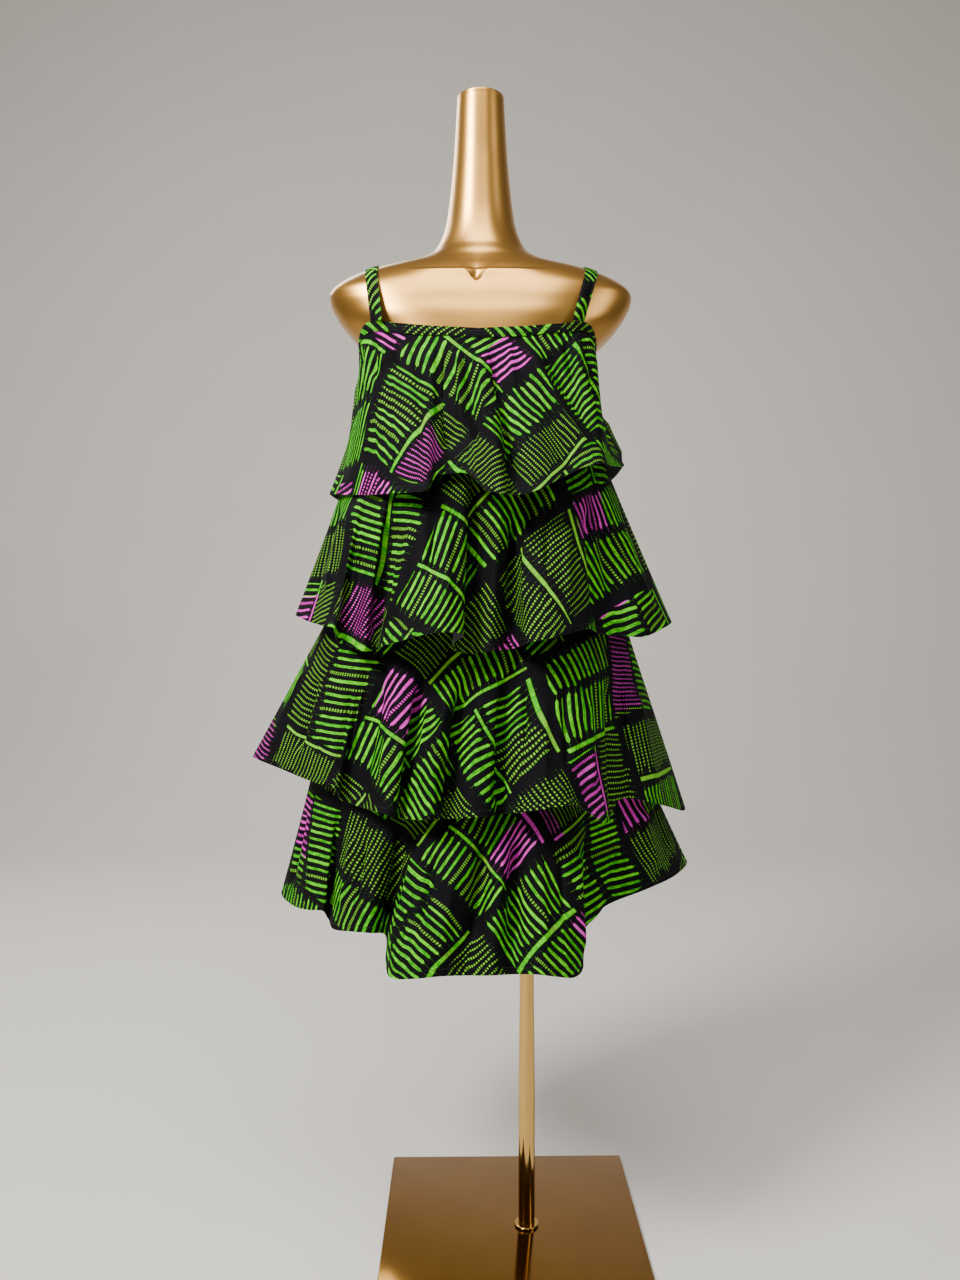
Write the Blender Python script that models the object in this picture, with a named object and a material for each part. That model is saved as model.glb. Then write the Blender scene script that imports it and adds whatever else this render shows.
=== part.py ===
"""Layered dress on a limbless dress form with a pole stand.

The model stands on the floor, +Z up, in metres. The origin is the middle of the stand
plate's underside, +X is the right side as the front is looked at, and +Y runs to the back.
The tables hold millimetres.
"""
import math

import bmesh
import bpy
import numpy as np
from mathutils.bvhtree import BVHTree

MM = 0.001
TOUCH = 0.0003              # gap kept between pieces that touch

# Stand
PLATE_SIDE = 0.350
PLATE_THICK = 0.006
PLATE_BEVEL = 0.001
POLE_X = 0.020
POLE_TOP = 0.6200
# pole's profile from the foot: radius, height over the floor where it ends or narrows
POLE_PROFILE = [(0.0113, 0.200), (0.0108, 0.250), (0.0099, 0.320), (0.0096, 0.380)]
RING_RADIUS = 0.0165
RING_HEIGHT = 0.003
SOCKET_NECK = 0.015         # radius of the socket where it meets the pole
SOCKET_RADIUS = 0.030
SOCKET_PLATE = 0.016        # height of the socket's neck, up to its wide plate

# Dress form
FORM_X = -0.043
FORM_BOTTOM = 0.645
SHOULDER_TIP = 1.266
SHOULDER_ROOT = 1.318
NECK_TOP = 1.5370
CAP_TOP = 1.5420
CAP_RADIUS = 0.0316
CAP_ROUNDING = 0.0012

# Cloth
DRESS_X = -0.048            # upright axis of the dress
WALL = 0.0016               # thickness of every cloth wall
LAYER = WALL + 0.0009       # step from one cloth layer to the next where they are sewn
SEAM_HALF_GAP = 0.0002      # half of the gap at a side seam
EDGE_ROOM = 0.0006          # spare room along the curved top edge
FACET_ROOM = 0.0010         # spare room for the flat facets of two layers
BAND_GAP = 0.0005           # from the first flounce to the band on it
TOP_DROP = 0.0008           # cloth edges end this far under the band's top
STRAP_CLEARANCE = 0.0008    # from the form to a strap's underside
STRAP_LEAVES = 0.090        # height over the band at which a strap meets the form
STRAP_ROWS = 13             # stations of a strap from the band to the shoulder's ridge
# degrees of top edge to each side that a strap's end clears
STRAP_END_SPREAD = (-7.0, -3.5, 0.0, 3.5, 7.0)
SECTION_POWER = 2.4         # roundness of the plan sections, 2 is an ellipse

# Form sections: height, half width, middle to the back, half depth, roundness
FORM_SECTIONS = [
    (1537, 31.6, 6, 31.6, 2.0),
    (1495, 34.0, 7, 34.0, 2.0),
    (1455, 36.7, 8, 37.0, 2.0),
    (1392, 43.5, 9, 44.0, 2.0),
    (1359, 50.5, 10, 50.0, 2.0),
    (1334, 64.0, 10, 56.0, 2.0),
    (1323, 80.0, 9, 60.0, 2.0),
    (1314, 108, 7, 62.0, 2.0),
    (1305, 146, 4, 65.0, 2.1),
    (1297, 168, 2, 69.0, 2.2),
    (1287, 187, 0, 73.0, 2.3),
    (1274, 201, 0, 78.0, 2.5),
    (1259, 201, -1, 82.0, 2.5),
    (1244, 194, -2, 85.0, 2.5),
    (1229, 184, -3, 88.0, 2.5),
    (1214, 171, -4, 90.0, 2.45),
    (1200, 157, -5, 91.5, 2.45),
    (1185, 146, -6, 94.0, 2.4),
    (1160, 141, -8, 97.0, 2.4),
    (1110, 141, -12, 101, 2.4),
    (1070, 140, -12, 101, 2.3),
    (1000, 128, -7, 88.0, 2.2),
    (930, 120, 0, 82.0, 2.2),
    (850, 140, 5, 94.0, 2.3),
    (780, 158, 8, 104, 2.3),
    (730, 162, 8, 108, 2.3),
    (680, 159, 7, 105, 2.3),
    (655, 152, 6, 100, 2.3),
    (645, 144, 6, 93.0, 2.3),
]

# Top edge of the dress: turn from the front in degrees, height of the band's top
TOP_EDGE = [
    (0, 1201), (30, 1205), (50, 1212), (60, 1217), (67, 1207), (75, 1186), (83, 1169),
    (90, 1162), (98, 1166), (108, 1184), (117, 1203), (125, 1209), (135, 1206),
    (155, 1199), (180, 1195),
]

# Foundation sections: height, half width, reach to the front, reach to the back
FOUNDATION_SECTIONS = [
    (1217, 182, 101, 94),
    (1200, 166, 103, 96),
    (1185, 156, 106, 98),
    (1160, 152, 112, 101),
    (1100, 156, 120, 103),
    (1040, 163, 124, 104),
    (940, 178, 128, 110),
    (860, 190, 134, 120),
    (760, 202, 142, 132),
    (660, 213, 150, 140),
    (640, 215, 152, 142),
]

# Each flounce: a row for each ridge, valley and turn of its hem, once round from the left
# side seam over the front. Columns: across and away place and height of the hem, and where
# that fold starts on the flounce's own seam (0 left side, 1 right side, 2 left side again).
HEM_1 = [
    (-248, 0, 1008, 0.00), (-230, -42, 1002, 0.05), (-206, -80, 997, 0.10),
    (-184, -111, 993, 0.15), (-161, -138, 991, 0.20),
    (-129, -178, 988, 0.27), (-110, -188, 990, 0.32), (-98, -168, 1008, 0.36),
    (-82, -158, 1013, 0.40), (-61, -168, 1011, 0.44), (-41, -190, 990, 0.49),
    (-20, -203, 983, 0.53), (-7, -178, 985, 0.57), (12, -192, 986, 0.61),
    (34, -188, 996, 0.67), (60, -165, 1012, 0.72), (77, -160, 1020, 0.77),
    (101, -152, 1027, 0.83), (120, -104, 1031, 0.90), (143, -44, 1039, 0.96),
    (151, 0, 1047, 1.00), (146, 45, 1038, 1.06), (128, 95, 1024, 1.13),
    (108, 108, 1018, 1.18), (88, 150, 1006, 1.24), (55, 168, 998, 1.31),
    (35, 150, 1000, 1.36), (10, 172, 992, 1.42), (-30, 186, 986, 1.49),
    (-58, 162, 992, 1.54), (-85, 178, 988, 1.60), (-122, 166, 990, 1.67),
    (-140, 140, 998, 1.72), (-170, 140, 994, 1.78), (-212, 100, 996, 1.86),
    (-236, 52, 1002, 1.93),
]
HEM_2 = [
    (-295, 5, 844, 0.00), (-266, -62, 835, 0.06), (-238, -115, 830, 0.13),
    (-224, -140, 827, 0.17), (-221, -124, 811, 0.20), (-206, -130, 805, 0.23),
    (-188, -160, 800, 0.25), (-172, -146, 801, 0.27), (-161, -176, 807, 0.30),
    (-140, -202, 813, 0.34), (-104, -214, 822, 0.41), (-75, -207, 823, 0.46),
    (-66, -190, 818, 0.48), (-78, -174, 810, 0.495), (-76, -158, 801, 0.515),
    (-57, -166, 797, 0.55), (-35, -186, 801, 0.59), (-8, -164, 803, 0.64),
    (8, -204, 811, 0.68), (33, -210, 816, 0.73), (59, -197, 822, 0.78),
    (84, -172, 827, 0.82), (100, -140, 821, 0.86), (132, -124, 818, 0.89),
    (160, -118, 817, 0.92), (198, -62, 829, 0.96),
    (218, 5, 835, 1.00), (213, 52, 828, 1.05), (190, 98, 820, 1.12),
    (160, 110, 815, 1.17), (140, 150, 812, 1.22), (105, 178, 808, 1.28),
    (84, 158, 806, 1.33), (58, 192, 806, 1.38), (18, 206, 802, 1.44),
    (-8, 180, 800, 1.48), (-40, 204, 802, 1.54), (-82, 210, 806, 1.60),
    (-106, 182, 804, 1.65), (-140, 192, 808, 1.70), (-178, 172, 812, 1.76),
    (-196, 144, 812, 1.80), (-232, 132, 818, 1.86), (-272, 80, 830, 1.93),
]
HEM_3 = [
    (-353, 0, 652, 0.00), (-300, -72, 645, 0.08), (-257, -116, 637, 0.15),
    (-222, -146, 632, 0.21), (-216, -131, 615, 0.25), (-194, -146, 611, 0.29),
    (-167, -190, 612, 0.33), (-149, -196, 608, 0.36), (-143, -172, 602, 0.39),
    (-127, -192, 604, 0.42), (-106, -216, 608, 0.46), (-85, -190, 604, 0.50),
    (-64, -215, 610, 0.53), (-39, -213, 611, 0.57), (-23, -188, 609, 0.60),
    (-9, -208, 614, 0.63), (15, -229, 621, 0.68), (44, -226, 625, 0.73),
    (62, -213, 624, 0.76), (82, -192, 611, 0.79), (104, -166, 593, 0.82),
    (115, -138, 599, 0.85), (130, -117, 614, 0.88), (155, -118, 613, 0.91),
    (196, -75, 597, 0.955),
    (236, 0, 577, 1.00), (240, 46, 584, 1.04), (224, 98, 592, 1.10),
    (190, 114, 596, 1.15), (176, 156, 600, 1.20), (136, 188, 602, 1.26),
    (112, 166, 600, 1.31), (84, 206, 604, 1.36), (40, 222, 604, 1.42),
    (12, 192, 600, 1.47), (-24, 218, 604, 1.52), (-66, 230, 606, 1.58),
    (-94, 198, 604, 1.63), (-130, 214, 608, 1.68), (-176, 202, 614, 1.73),
    (-200, 170, 614, 1.78), (-244, 164, 622, 1.83), (-296, 116, 634, 1.90),
    (-336, 56, 646, 1.96),
]
HEM_4 = [
    (-315, 0, 466, 0.00), (-291, -56, 465, 0.07), (-266, -92, 469, 0.12),
    (-242, -115, 474, 0.17), (-237, -100, 459, 0.20), (-227, -130, 456, 0.23),
    (-203, -156, 461, 0.28), (-178, -166, 462, 0.32), (-161, -150, 454, 0.36),
    (-158, -188, 436, 0.40), (-149, -234, 433, 0.44), (-122, -250, 437, 0.48),
    (-92, -243, 437, 0.52), (-64, -224, 431, 0.55), (-36, -241, 437, 0.58),
    (-11, -221, 431, 0.61), (15, -241, 438, 0.64), (43, -233, 432, 0.68),
    (62, -220, 427, 0.71), (75, -192, 429, 0.73), (78, -155, 446, 0.76),
    (92, -124, 467, 0.80), (118, -120, 484, 0.84), (162, -111, 498, 0.89),
    (208, -62, 502, 0.94),
    (239, 0, 503, 1.00), (243, 46, 500, 1.04), (222, 100, 492, 1.10),
    (188, 120, 484, 1.15), (176, 164, 474, 1.20), (134, 198, 462, 1.26),
    (108, 174, 456, 1.31), (82, 216, 448, 1.36), (36, 236, 442, 1.42),
    (6, 204, 440, 1.47), (-28, 236, 438, 1.52), (-74, 246, 440, 1.58),
    (-104, 210, 440, 1.63), (-136, 226, 444, 1.68), (-182, 208, 452, 1.74),
    (-204, 170, 454, 1.79), (-240, 160, 460, 1.84), (-280, 104, 464, 1.91),
    (-304, 50, 466, 1.96),
]

# Flounces, top to bottom: height of the seam, power of the flare's growth, and how late
# the folds open on the way down (1 opens them evenly from the seam)
FLOUNCES = [
    (None, 1.5, 1.15, HEM_1),
    (1075, 1.0, 1.2, HEM_2),
    (855, 0.95, 1.1, HEM_3),
    (668, 1.0, 1.2, HEM_4),
]
COLUMNS_PER_FOLD = 2        # wall columns between two rows of a hem table
# wall rows of a flounce as shares of the way from seam to hem; the second row of the
# first flounce is where the band's lower edge lies on it
FIRST_ROWS = (0.0, 0.055, 0.25, 0.42, 0.60, 0.80, 1.0)
# the other flounces: shares of the covered part, down to the hem above, then of the rest
COVERED_ROWS = (0.0, 0.55, 1.0)
SHOWN_ROWS = (0.18, 0.42, 0.70, 1.0)
ROOM_SPREAD = (-4.5, -3.0, -1.5, 0.0, 1.5, 3.0, 4.5)   # turns looked at, in degrees
ROOM_STEP = 0.004
ROOM_STEPS = 24
ROOM_GAP = 0.0012
ROOM_SLOPE = 0.7
ROOM_FOR_NEXT = 0.0095      # space that a flounce leaves for the next one's top
MAKING_ROOM = 0.070         # height over the next seam in which that space opens
FOUNDATION_COLUMNS = 40     # columns of half the foundation
FOUNDATION_ROWS = (1150, 1075, 965, 855, 762, 668, 640)   # its rows, with each seam's height
FORM_COLUMNS = 36

# Straps: place across the dress at the band in front, on the shoulder, at the band behind
STRAP_WIDTH = 0.0165
STRAPS = {
    "strap_left": (-0.1765, -0.1860, -0.1700),
    "strap_right": (0.0790, 0.1010, 0.0760),
}

BRASS = ((0.46, 0.33, 0.12, 1.0), 0.12, 1.0)
SATIN_GOLD = ((0.72, 0.55, 0.32, 1.0), 0.32, 1.0)
PRINTED_COTTON = ((0.06, 0.24, 0.04, 1.0), 0.85, 0.0)


def clear_scene():
    """Take every object out of the open file."""
    for old in list(bpy.data.objects):
        bpy.data.objects.remove(old, do_unlink=True)


def finish_material(name, look):
    """One plain finish: colour, roughness, metallic."""
    colour, roughness, metallic = look
    material = bpy.data.materials.new(name)
    material.use_nodes = True
    shader = material.node_tree.nodes["Principled BSDF"]
    shader.inputs["Base Color"].default_value = colour
    shader.inputs["Roughness"].default_value = roughness
    shader.inputs["Metallic"].default_value = metallic
    return material


def add_object(name, mesh, look):
    """Put a finished mesh in the scene under its piece's name."""
    mesh.materials.append(finish_material(name + "_finish", look))
    piece = bpy.data.objects.new(name, mesh)
    bpy.context.scene.collection.objects.link(piece)
    return piece


def mesh_of(name, points, faces):
    """A mesh from points and faces, its faces turned outwards."""
    mesh = bpy.data.meshes.new(name)
    mesh.from_pydata([tuple(p) for p in points], [], faces)
    shape = bmesh.new()
    shape.from_mesh(mesh)
    bmesh.ops.recalc_face_normals(shape, faces=shape.faces)
    shape.to_mesh(mesh)
    shape.free()
    return mesh


def turned(name, profile, centre, look, sides=32):
    """A solid of revolution about an upright axis, from (radius, height) points."""
    rows = len(profile)
    turns = np.linspace(0.0, 2.0 * math.pi, sides, endpoint=False)
    points = [(centre[0] + r * math.cos(a), centre[1] + r * math.sin(a), z)
              for r, z in profile for a in turns]
    faces = [(i * sides + j, i * sides + (j + 1) % sides,
              (i + 1) % rows * sides + (j + 1) % sides, (i + 1) % rows * sides + j)
             for i in range(rows) for j in range(sides)]
    piece = add_object(name, mesh_of(name, points, faces), look)
    piece.data.shade_smooth()
    piece.data.set_sharp_from_angle(angle=math.radians(35))
    return piece


def capped_turned(name, profile, centre, look, sides=32):
    """A turned solid that is full to its axis, with flat ends."""
    turns = np.linspace(0.0, 2.0 * math.pi, sides, endpoint=False)
    points = [(centre[0] + r * math.cos(a), centre[1] + r * math.sin(a), z)
              for r, z in profile for a in turns]
    last = (len(profile) - 1) * sides
    faces = [(i * sides + j, i * sides + (j + 1) % sides,
              (i + 1) * sides + (j + 1) % sides, (i + 1) * sides + j)
             for i in range(len(profile) - 1) for j in range(sides)]
    faces.append(tuple(range(sides)))
    faces.append(tuple(last + j for j in range(sides)))
    piece = add_object(name, mesh_of(name, points, faces), look)
    piece.data.shade_smooth()
    piece.data.set_sharp_from_angle(angle=math.radians(35))
    return piece


def between(rows, height):
    """The row of a section table at a height, read along a smooth curve."""
    table = np.array(rows, dtype=float)
    levels = table[:, 0]
    if levels[0] > levels[-1]:
        table = table[::-1]
        levels = table[:, 0]
    spot = float(np.clip(height, levels[0], levels[-1]))
    i = int(np.clip(np.searchsorted(levels, spot) - 1, 0, len(levels) - 2))
    t = (spot - levels[i]) / (levels[i + 1] - levels[i])
    span = levels[i + 1] - levels[i]
    start = table[max(i - 1, 0)]
    end = table[min(i + 2, len(levels) - 1)]
    slope_in = (table[i + 1] - start) / (levels[i + 1] - start[0]) * span
    slope_out = (end - table[i]) / (end[0] - levels[i]) * span
    return (table[i] * (2 * t**3 - 3 * t**2 + 1) + slope_in * (t**3 - 2 * t**2 + t)
            + table[i + 1] * (3 * t**2 - 2 * t**3) + slope_out * (t**3 - t**2))


def foundation_reach(turn, height):
    """Distance of the foundation's outer face from the dress's axis, in metres."""
    _, half_width, front, back = between(FOUNDATION_SECTIONS, height / MM)
    depth = front if math.cos(turn) > 0.0 else back
    total = (abs(math.sin(turn)) / half_width) ** SECTION_POWER
    total += (abs(math.cos(turn)) / depth) ** SECTION_POWER
    return MM * total ** (-1.0 / SECTION_POWER)


def top_edge(turn):
    """Height of the dress's top edge at a turn from the front."""
    degrees = abs(math.degrees((turn + math.pi) % (2.0 * math.pi) - math.pi))
    return MM * between(TOP_EDGE, degrees)[1]


def spot(turn, reach, height):
    """A point from its turn round the dress's axis, its reach and its height."""
    return np.array((DRESS_X + reach * math.sin(turn), -reach * math.cos(turn), height))


def closed_curve(rows, steps):
    """Smooth closed curve through the rows, with a number of steps between two rows."""
    table = np.array(rows, dtype=float)
    wrapped = table.copy()
    count = len(table)
    result = []
    for i in range(count):
        before = wrapped[i - 1].copy()
        start = wrapped[i].copy()
        end = wrapped[(i + 1) % count].copy()
        after = wrapped[(i + 2) % count].copy()
        before[3] -= 2.0 if i == 0 else 0.0
        end[3] += 2.0 if i + 1 >= count else 0.0
        after[3] += 2.0 if i + 2 >= count else 0.0
        for step in range(steps):
            t = step / steps
            result.append(0.5 * (2 * start + (end - before) * t
                                 + (2 * before - 5 * start + 4 * end - after) * t**2
                                 + (3 * start - before - 3 * end + after) * t**3))
    return np.array(result)


def seam_turn(root):
    """Turn from the front of a place on a seam, 0 left side, 1 right side, 2 left again."""
    return math.pi * (root - 0.5)


def surface_tree(grid):
    """Search tree of a closed surface given as rows of points."""
    rows, columns, _ = grid.shape
    points = [tuple(p) for p in grid.reshape(-1, 3)]
    faces = []
    for i in range(rows - 1):
        for j in range(columns):
            k = (j + 1) % columns
            faces.append((i * columns + j, i * columns + k,
                          (i + 1) * columns + k, (i + 1) * columns + j))
    return BVHTree.FromPolygons(points, faces)


def inner_face(tree, turn, height):
    """Distance from the dress's axis to the layer above, or None below its hem."""
    way = (math.sin(turn), -math.cos(turn), 0.0)
    return tree.ray_cast((DRESS_X, 0.0, height), way, 0.6)[3]


def room_under(tree, turn, height):
    """How far a layer may reach at a place under, or just below, the layer above it."""
    limit = 1.0
    for spread in ROOM_SPREAD:
        for k in range(ROOM_STEPS):
            drop = k * ROOM_STEP
            hit = inner_face(tree, turn + math.radians(spread), height + drop)
            if hit is not None:
                limit = min(limit, hit - ROOM_GAP + ROOM_SLOPE * drop)
                break
    return limit


def hem_above(tree, turn, height):
    """Height of the upper layer's hem at a turn, looked for from a height downwards."""
    level = height
    while level > 0.0 and inner_face(tree, turn, level) is not None:
        level -= ROOM_STEP
    return level


def soft_min(a, b, blend=0.003):
    """The smaller of two lengths, rounded where they cross."""
    low = min(a, b)
    return low - blend * math.log1p(math.exp(-abs(a - b) / blend))


def soft_max(a, b, blend=0.002):
    """The larger of two lengths, rounded where they cross."""
    return -soft_min(-a, -b, blend)


def flounce_grid(seam_height, flare, opening, rows, tree, next_seam):
    """Outer face of a whole flounce as rows of points, seam to hem, once round."""
    hem = closed_curve(rows, COLUMNS_PER_FOLD)
    columns = len(hem)
    across = hem[:, 0] * MM
    away = hem[:, 1] * MM
    # the smooth bell that the folds stand on
    window = 2 * COLUMNS_PER_FOLD + 1
    kernel = np.hanning(2 * window + 1)[1:-1]
    kernel /= kernel.sum()
    half = len(kernel) // 2

    def eased(values):
        padded = np.concatenate([values[-half:], values, values[:half]])
        return np.convolve(padded, kernel, mode="valid")

    bell_across = eased(across)
    bell_away = eased(away)
    bell_height = eased(hem[:, 2] * MM)
    grid = np.zeros((len(FIRST_ROWS), columns, 3))
    for j in range(columns):
        turn = seam_turn(hem[j, 3])
        if seam_height is None:
            top = top_edge(turn) - TOP_DROP
            room = LAYER + EDGE_ROOM
        else:
            top = seam_height * MM
            room = LAYER
        seam = spot(turn, foundation_reach(turn, top) + room, top)
        bell = np.array((bell_across[j], bell_away[j], bell_height[j]))
        edge = np.array((across[j], away[j], hem[j, 2] * MM))
        for i, v in enumerate(row_shares(tree, turn, top, edge[2])):
            point = seam + (bell - seam) * np.array((v**flare, v**flare, v))
            point += (edge - bell) * v**opening
            grid[i, j] = kept_apart(point, v, tree, next_seam)
    return grid


def row_shares(tree, turn, top, bottom):
    """Shares of the way down at which a flounce's column has its points."""
    if tree is None:
        return FIRST_ROWS
    covered = (top - hem_above(tree, turn, top)) / (top - bottom)
    shown = [covered + (1.0 - covered) * share for share in SHOWN_ROWS]
    return [covered * share for share in COVERED_ROWS] + shown


def kept_apart(point, v, tree, next_seam):
    """Hold a flounce's point outside what it covers and inside what covers it."""
    x = point[0] - DRESS_X
    turn = math.atan2(x, -point[1])
    reach = math.hypot(x, point[1])
    if tree is not None and v > 0.0:
        reach = soft_min(reach, room_under(tree, turn, point[2]))
    share = min(1.0, max(0.0, (next_seam + MAKING_ROOM - point[2]) / MAKING_ROOM))
    least = foundation_reach(turn, point[2]) + LAYER + ROOM_FOR_NEXT * share
    if v > 0.0:
        reach = soft_max(reach, least + FACET_ROOM, 0.0008)
    return spot(turn, reach, point[2])


def wall_normals(grid):
    """Outward unit normals of a surface that closes on itself sideways."""
    side = np.roll(grid, -1, axis=1) - np.roll(grid, 1, axis=1)
    down = np.gradient(grid, axis=0)
    normal = np.cross(down, side)
    length = np.linalg.norm(normal, axis=2, keepdims=True)
    return normal / np.maximum(length, 1e-9)


def half_of(grid, start, end):
    """The columns of a closed surface from start to end, both kept."""
    columns = grid.shape[1]
    picked = [j % columns for j in range(start, end + 1)]
    return grid[:, picked].copy()


def cloth_wall(name, outer, inner):
    """A closed cloth wall between two open sheets, drawn in a little at its side seams."""
    for sheet in (outer, inner):
        for edge, beside in ((0, 1), (-1, -2)):
            way = sheet[:, beside] - sheet[:, edge]
            way /= np.linalg.norm(way, axis=1, keepdims=True)
            sheet[:, edge] += way * SEAM_HALF_GAP
    rows, columns, _ = outer.shape
    points = np.concatenate([outer.reshape(-1, 3), inner.reshape(-1, 3)])
    back = rows * columns
    faces = []
    for i in range(rows - 1):
        for j in range(columns - 1):
            a = i * columns + j
            faces.append((a, a + 1, a + columns + 1, a + columns))
            faces.append((back + a, back + a + columns, back + a + columns + 1,
                          back + a + 1))
    for j in range(columns - 1):
        low = (rows - 1) * columns + j
        faces.append((j, back + j, back + j + 1, j + 1))
        faces.append((low, low + 1, back + low + 1, back + low))
    for i in range(rows - 1):
        a = i * columns
        b = a + columns - 1
        faces.append((a, a + columns, back + a + columns, back + a))
        faces.append((b, back + b, back + b + columns, b + columns))
    piece = add_object(name, mesh_of(name, points, faces), PRINTED_COTTON)
    piece.data.shade_smooth()
    piece.data.set_sharp_from_angle(angle=math.radians(50))
    return piece


def front_and_back(name, outer, inner, middle):
    """Two walls from one closed surface: front up to the middle column, back from it."""
    columns = outer.shape[1]
    cloth_wall(name + "_front", half_of(outer, 0, middle), half_of(inner, 0, middle))
    cloth_wall(name + "_back", half_of(outer, middle, columns),
               half_of(inner, middle, columns))


def build_flounces():
    """The four flounces, each a front and a back, and the band on the first one's top."""
    tree = None
    seams = [flounce[0] for flounce in FLOUNCES[1:]] + [0]
    for number, (seam_height, flare, opening, rows) in enumerate(FLOUNCES, start=1):
        next_seam = seams[number - 1] * MM
        outer = flounce_grid(seam_height, flare, opening, rows, tree, next_seam)
        inner = outer - WALL * wall_normals(outer)
        middle = [row[3] for row in rows].index(1.00) * COLUMNS_PER_FOLD
        tree = surface_tree(inner)
        if number == 1:
            build_band(outer, middle)
        front_and_back(f"flounce_{number}", outer, inner, middle)


def ring_grid(heights_of, layer):
    """Points of a smooth loop wall: heights for each turn, at a layer on the foundation."""
    columns = 2 * FOUNDATION_COLUMNS
    turns = [seam_turn(2.0 * j / columns) for j in range(columns)]
    rows = []
    for k in range(len(heights_of(0.0))):
        rows.append([spot(turn, foundation_reach(turn, heights_of(turn)[k]) + layer,
                          heights_of(turn)[k]) for turn in turns])
    return np.array(rows)


def build_foundation():
    """The plain inner dress that carries the flounces, front and back."""
    levels = [level * MM for level in FOUNDATION_ROWS]

    def heights(turn):
        top = top_edge(turn) - TOP_DROP
        return [top, 0.5 * (top + levels[0])] + levels

    outer = ring_grid(heights, 0.0)
    inner = ring_grid(heights, -WALL)
    front_and_back("foundation", outer, inner, FOUNDATION_COLUMNS)


def build_band(cloth, middle):
    """The binding round the top edge: the first flounce's own top rows, moved out."""
    normal = wall_normals(cloth)
    inner = cloth[:2] + BAND_GAP * normal[:2]
    outer = inner + WALL * normal[:2]
    for sheet in (inner, outer):
        sheet[0, :, 2] = cloth[0, :, 2] + TOP_DROP
    front_and_back("top_band", outer, inner, middle)


def form_ring(height):
    """Points round the form at a height."""
    _, half_width, middle, half_depth, power = between(FORM_SECTIONS, height)
    points = []
    for a in np.linspace(0.0, 2.0 * math.pi, FORM_COLUMNS, endpoint=False):
        c, s = math.cos(a), math.sin(a)
        x = half_width * math.copysign(abs(c) ** (2.0 / power), c)
        y = middle + half_depth * math.copysign(abs(s) ** (2.0 / power), s)
        points.append((FORM_X + x * MM, y * MM, height * MM))
    return points


def build_form():
    """The smooth limbless form: neck, shoulders, trunk and flat underside."""
    points = []
    for row in FORM_SECTIONS:
        points.extend(form_ring(row[0]))
    n = FORM_COLUMNS
    faces = [(i * n + j, i * n + (j + 1) % n, (i + 1) * n + (j + 1) % n, (i + 1) * n + j)
             for i in range(len(FORM_SECTIONS) - 1) for j in range(n)]
    faces.append(tuple(range(n)))
    faces.append(tuple((len(FORM_SECTIONS) - 1) * n + j for j in range(n)))
    piece = add_object("form_torso", mesh_of("form_torso", points, faces), SATIN_GOLD)
    piece.data.shade_smooth()
    piece.data.set_sharp_from_angle(angle=math.radians(50))
    middle = FORM_SECTIONS[0][2] * MM
    cap = [(CAP_RADIUS, NECK_TOP + TOUCH), (CAP_RADIUS, CAP_TOP - CAP_ROUNDING),
           (CAP_RADIUS - 0.3 * CAP_ROUNDING, CAP_TOP - 0.35 * CAP_ROUNDING),
           (CAP_RADIUS - CAP_ROUNDING, CAP_TOP)]
    capped_turned("neck_cap", cap, (FORM_X, middle), SATIN_GOLD, FORM_COLUMNS)


def form_away(across, height, side):
    """Front (side -1) or back (side 1) of the form at a place across it and a height."""
    _, half_width, middle, half_depth, power = between(FORM_SECTIONS, height / MM)
    offset = min(abs(across - FORM_X) / MM, half_width)
    inside = (1.0 - (offset / half_width) ** power) ** (1.0 / power)
    return MM * (middle + side * half_depth * inside)


def crest_height(across):
    """Height of the shoulder's ridge at a place across the form."""
    low, high = SHOULDER_TIP, SHOULDER_ROOT
    for _ in range(30):
        height = 0.5 * (low + high)
        if between(FORM_SECTIONS, height / MM)[1] * MM > abs(across - FORM_X):
            low = height
        else:
            high = height
    return low


def band_place(across, side):
    """Middle of the cloth layers on the band's top at a place across the dress."""
    turn = 0.0
    for _ in range(12):
        bent = turn if side < 0 else math.pi - turn
        reach = foundation_reach(bent, top_edge(bent))
        turn = math.asin(max(-1.0, min(1.0, (across - DRESS_X) / reach)))
    bent = turn if side < 0 else math.pi - turn
    level = max(top_edge(bent + math.radians(step)) for step in STRAP_END_SPREAD)
    return spot(bent, reach + LAYER, level + TOUCH)


def strap_edge(places, shift):
    """One long edge of a strap's underside, band in front to band behind."""
    on_top = places[1] + shift
    crest = crest_height(on_top)
    halves = []
    for side, at_band in ((-1, places[0] + shift), (1, places[2] + shift)):
        foot = band_place(at_band, side)
        half = []
        for share in np.sin(np.radians(np.linspace(0.0, 90.0, STRAP_ROWS))):
            height = foot[2] + (crest - foot[2]) * share
            across = at_band + (on_top - at_band) * min(1.0, share / 0.85)
            half.append((across, form_away(across, height, side), height))
        half = np.array(half)
        way = np.gradient(half[:, 1:], axis=0)
        way[-1] = (-side, 0.0)
        out = np.stack([side * way[:, 1], -side * way[:, 0]], axis=1)
        out /= np.linalg.norm(out, axis=1, keepdims=True)
        half[:, 1:] += STRAP_CLEARANCE * out
        slack = np.clip(1.0 - (half[:, 2] - foot[2]) / STRAP_LEAVES, 0.0, 1.0)
        half[:, 1] += (foot[1] - half[0, 1]) * slack**2
        half[0] = foot
        halves.append(half)
    return np.concatenate([halves[0], halves[1][-2::-1]])


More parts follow.
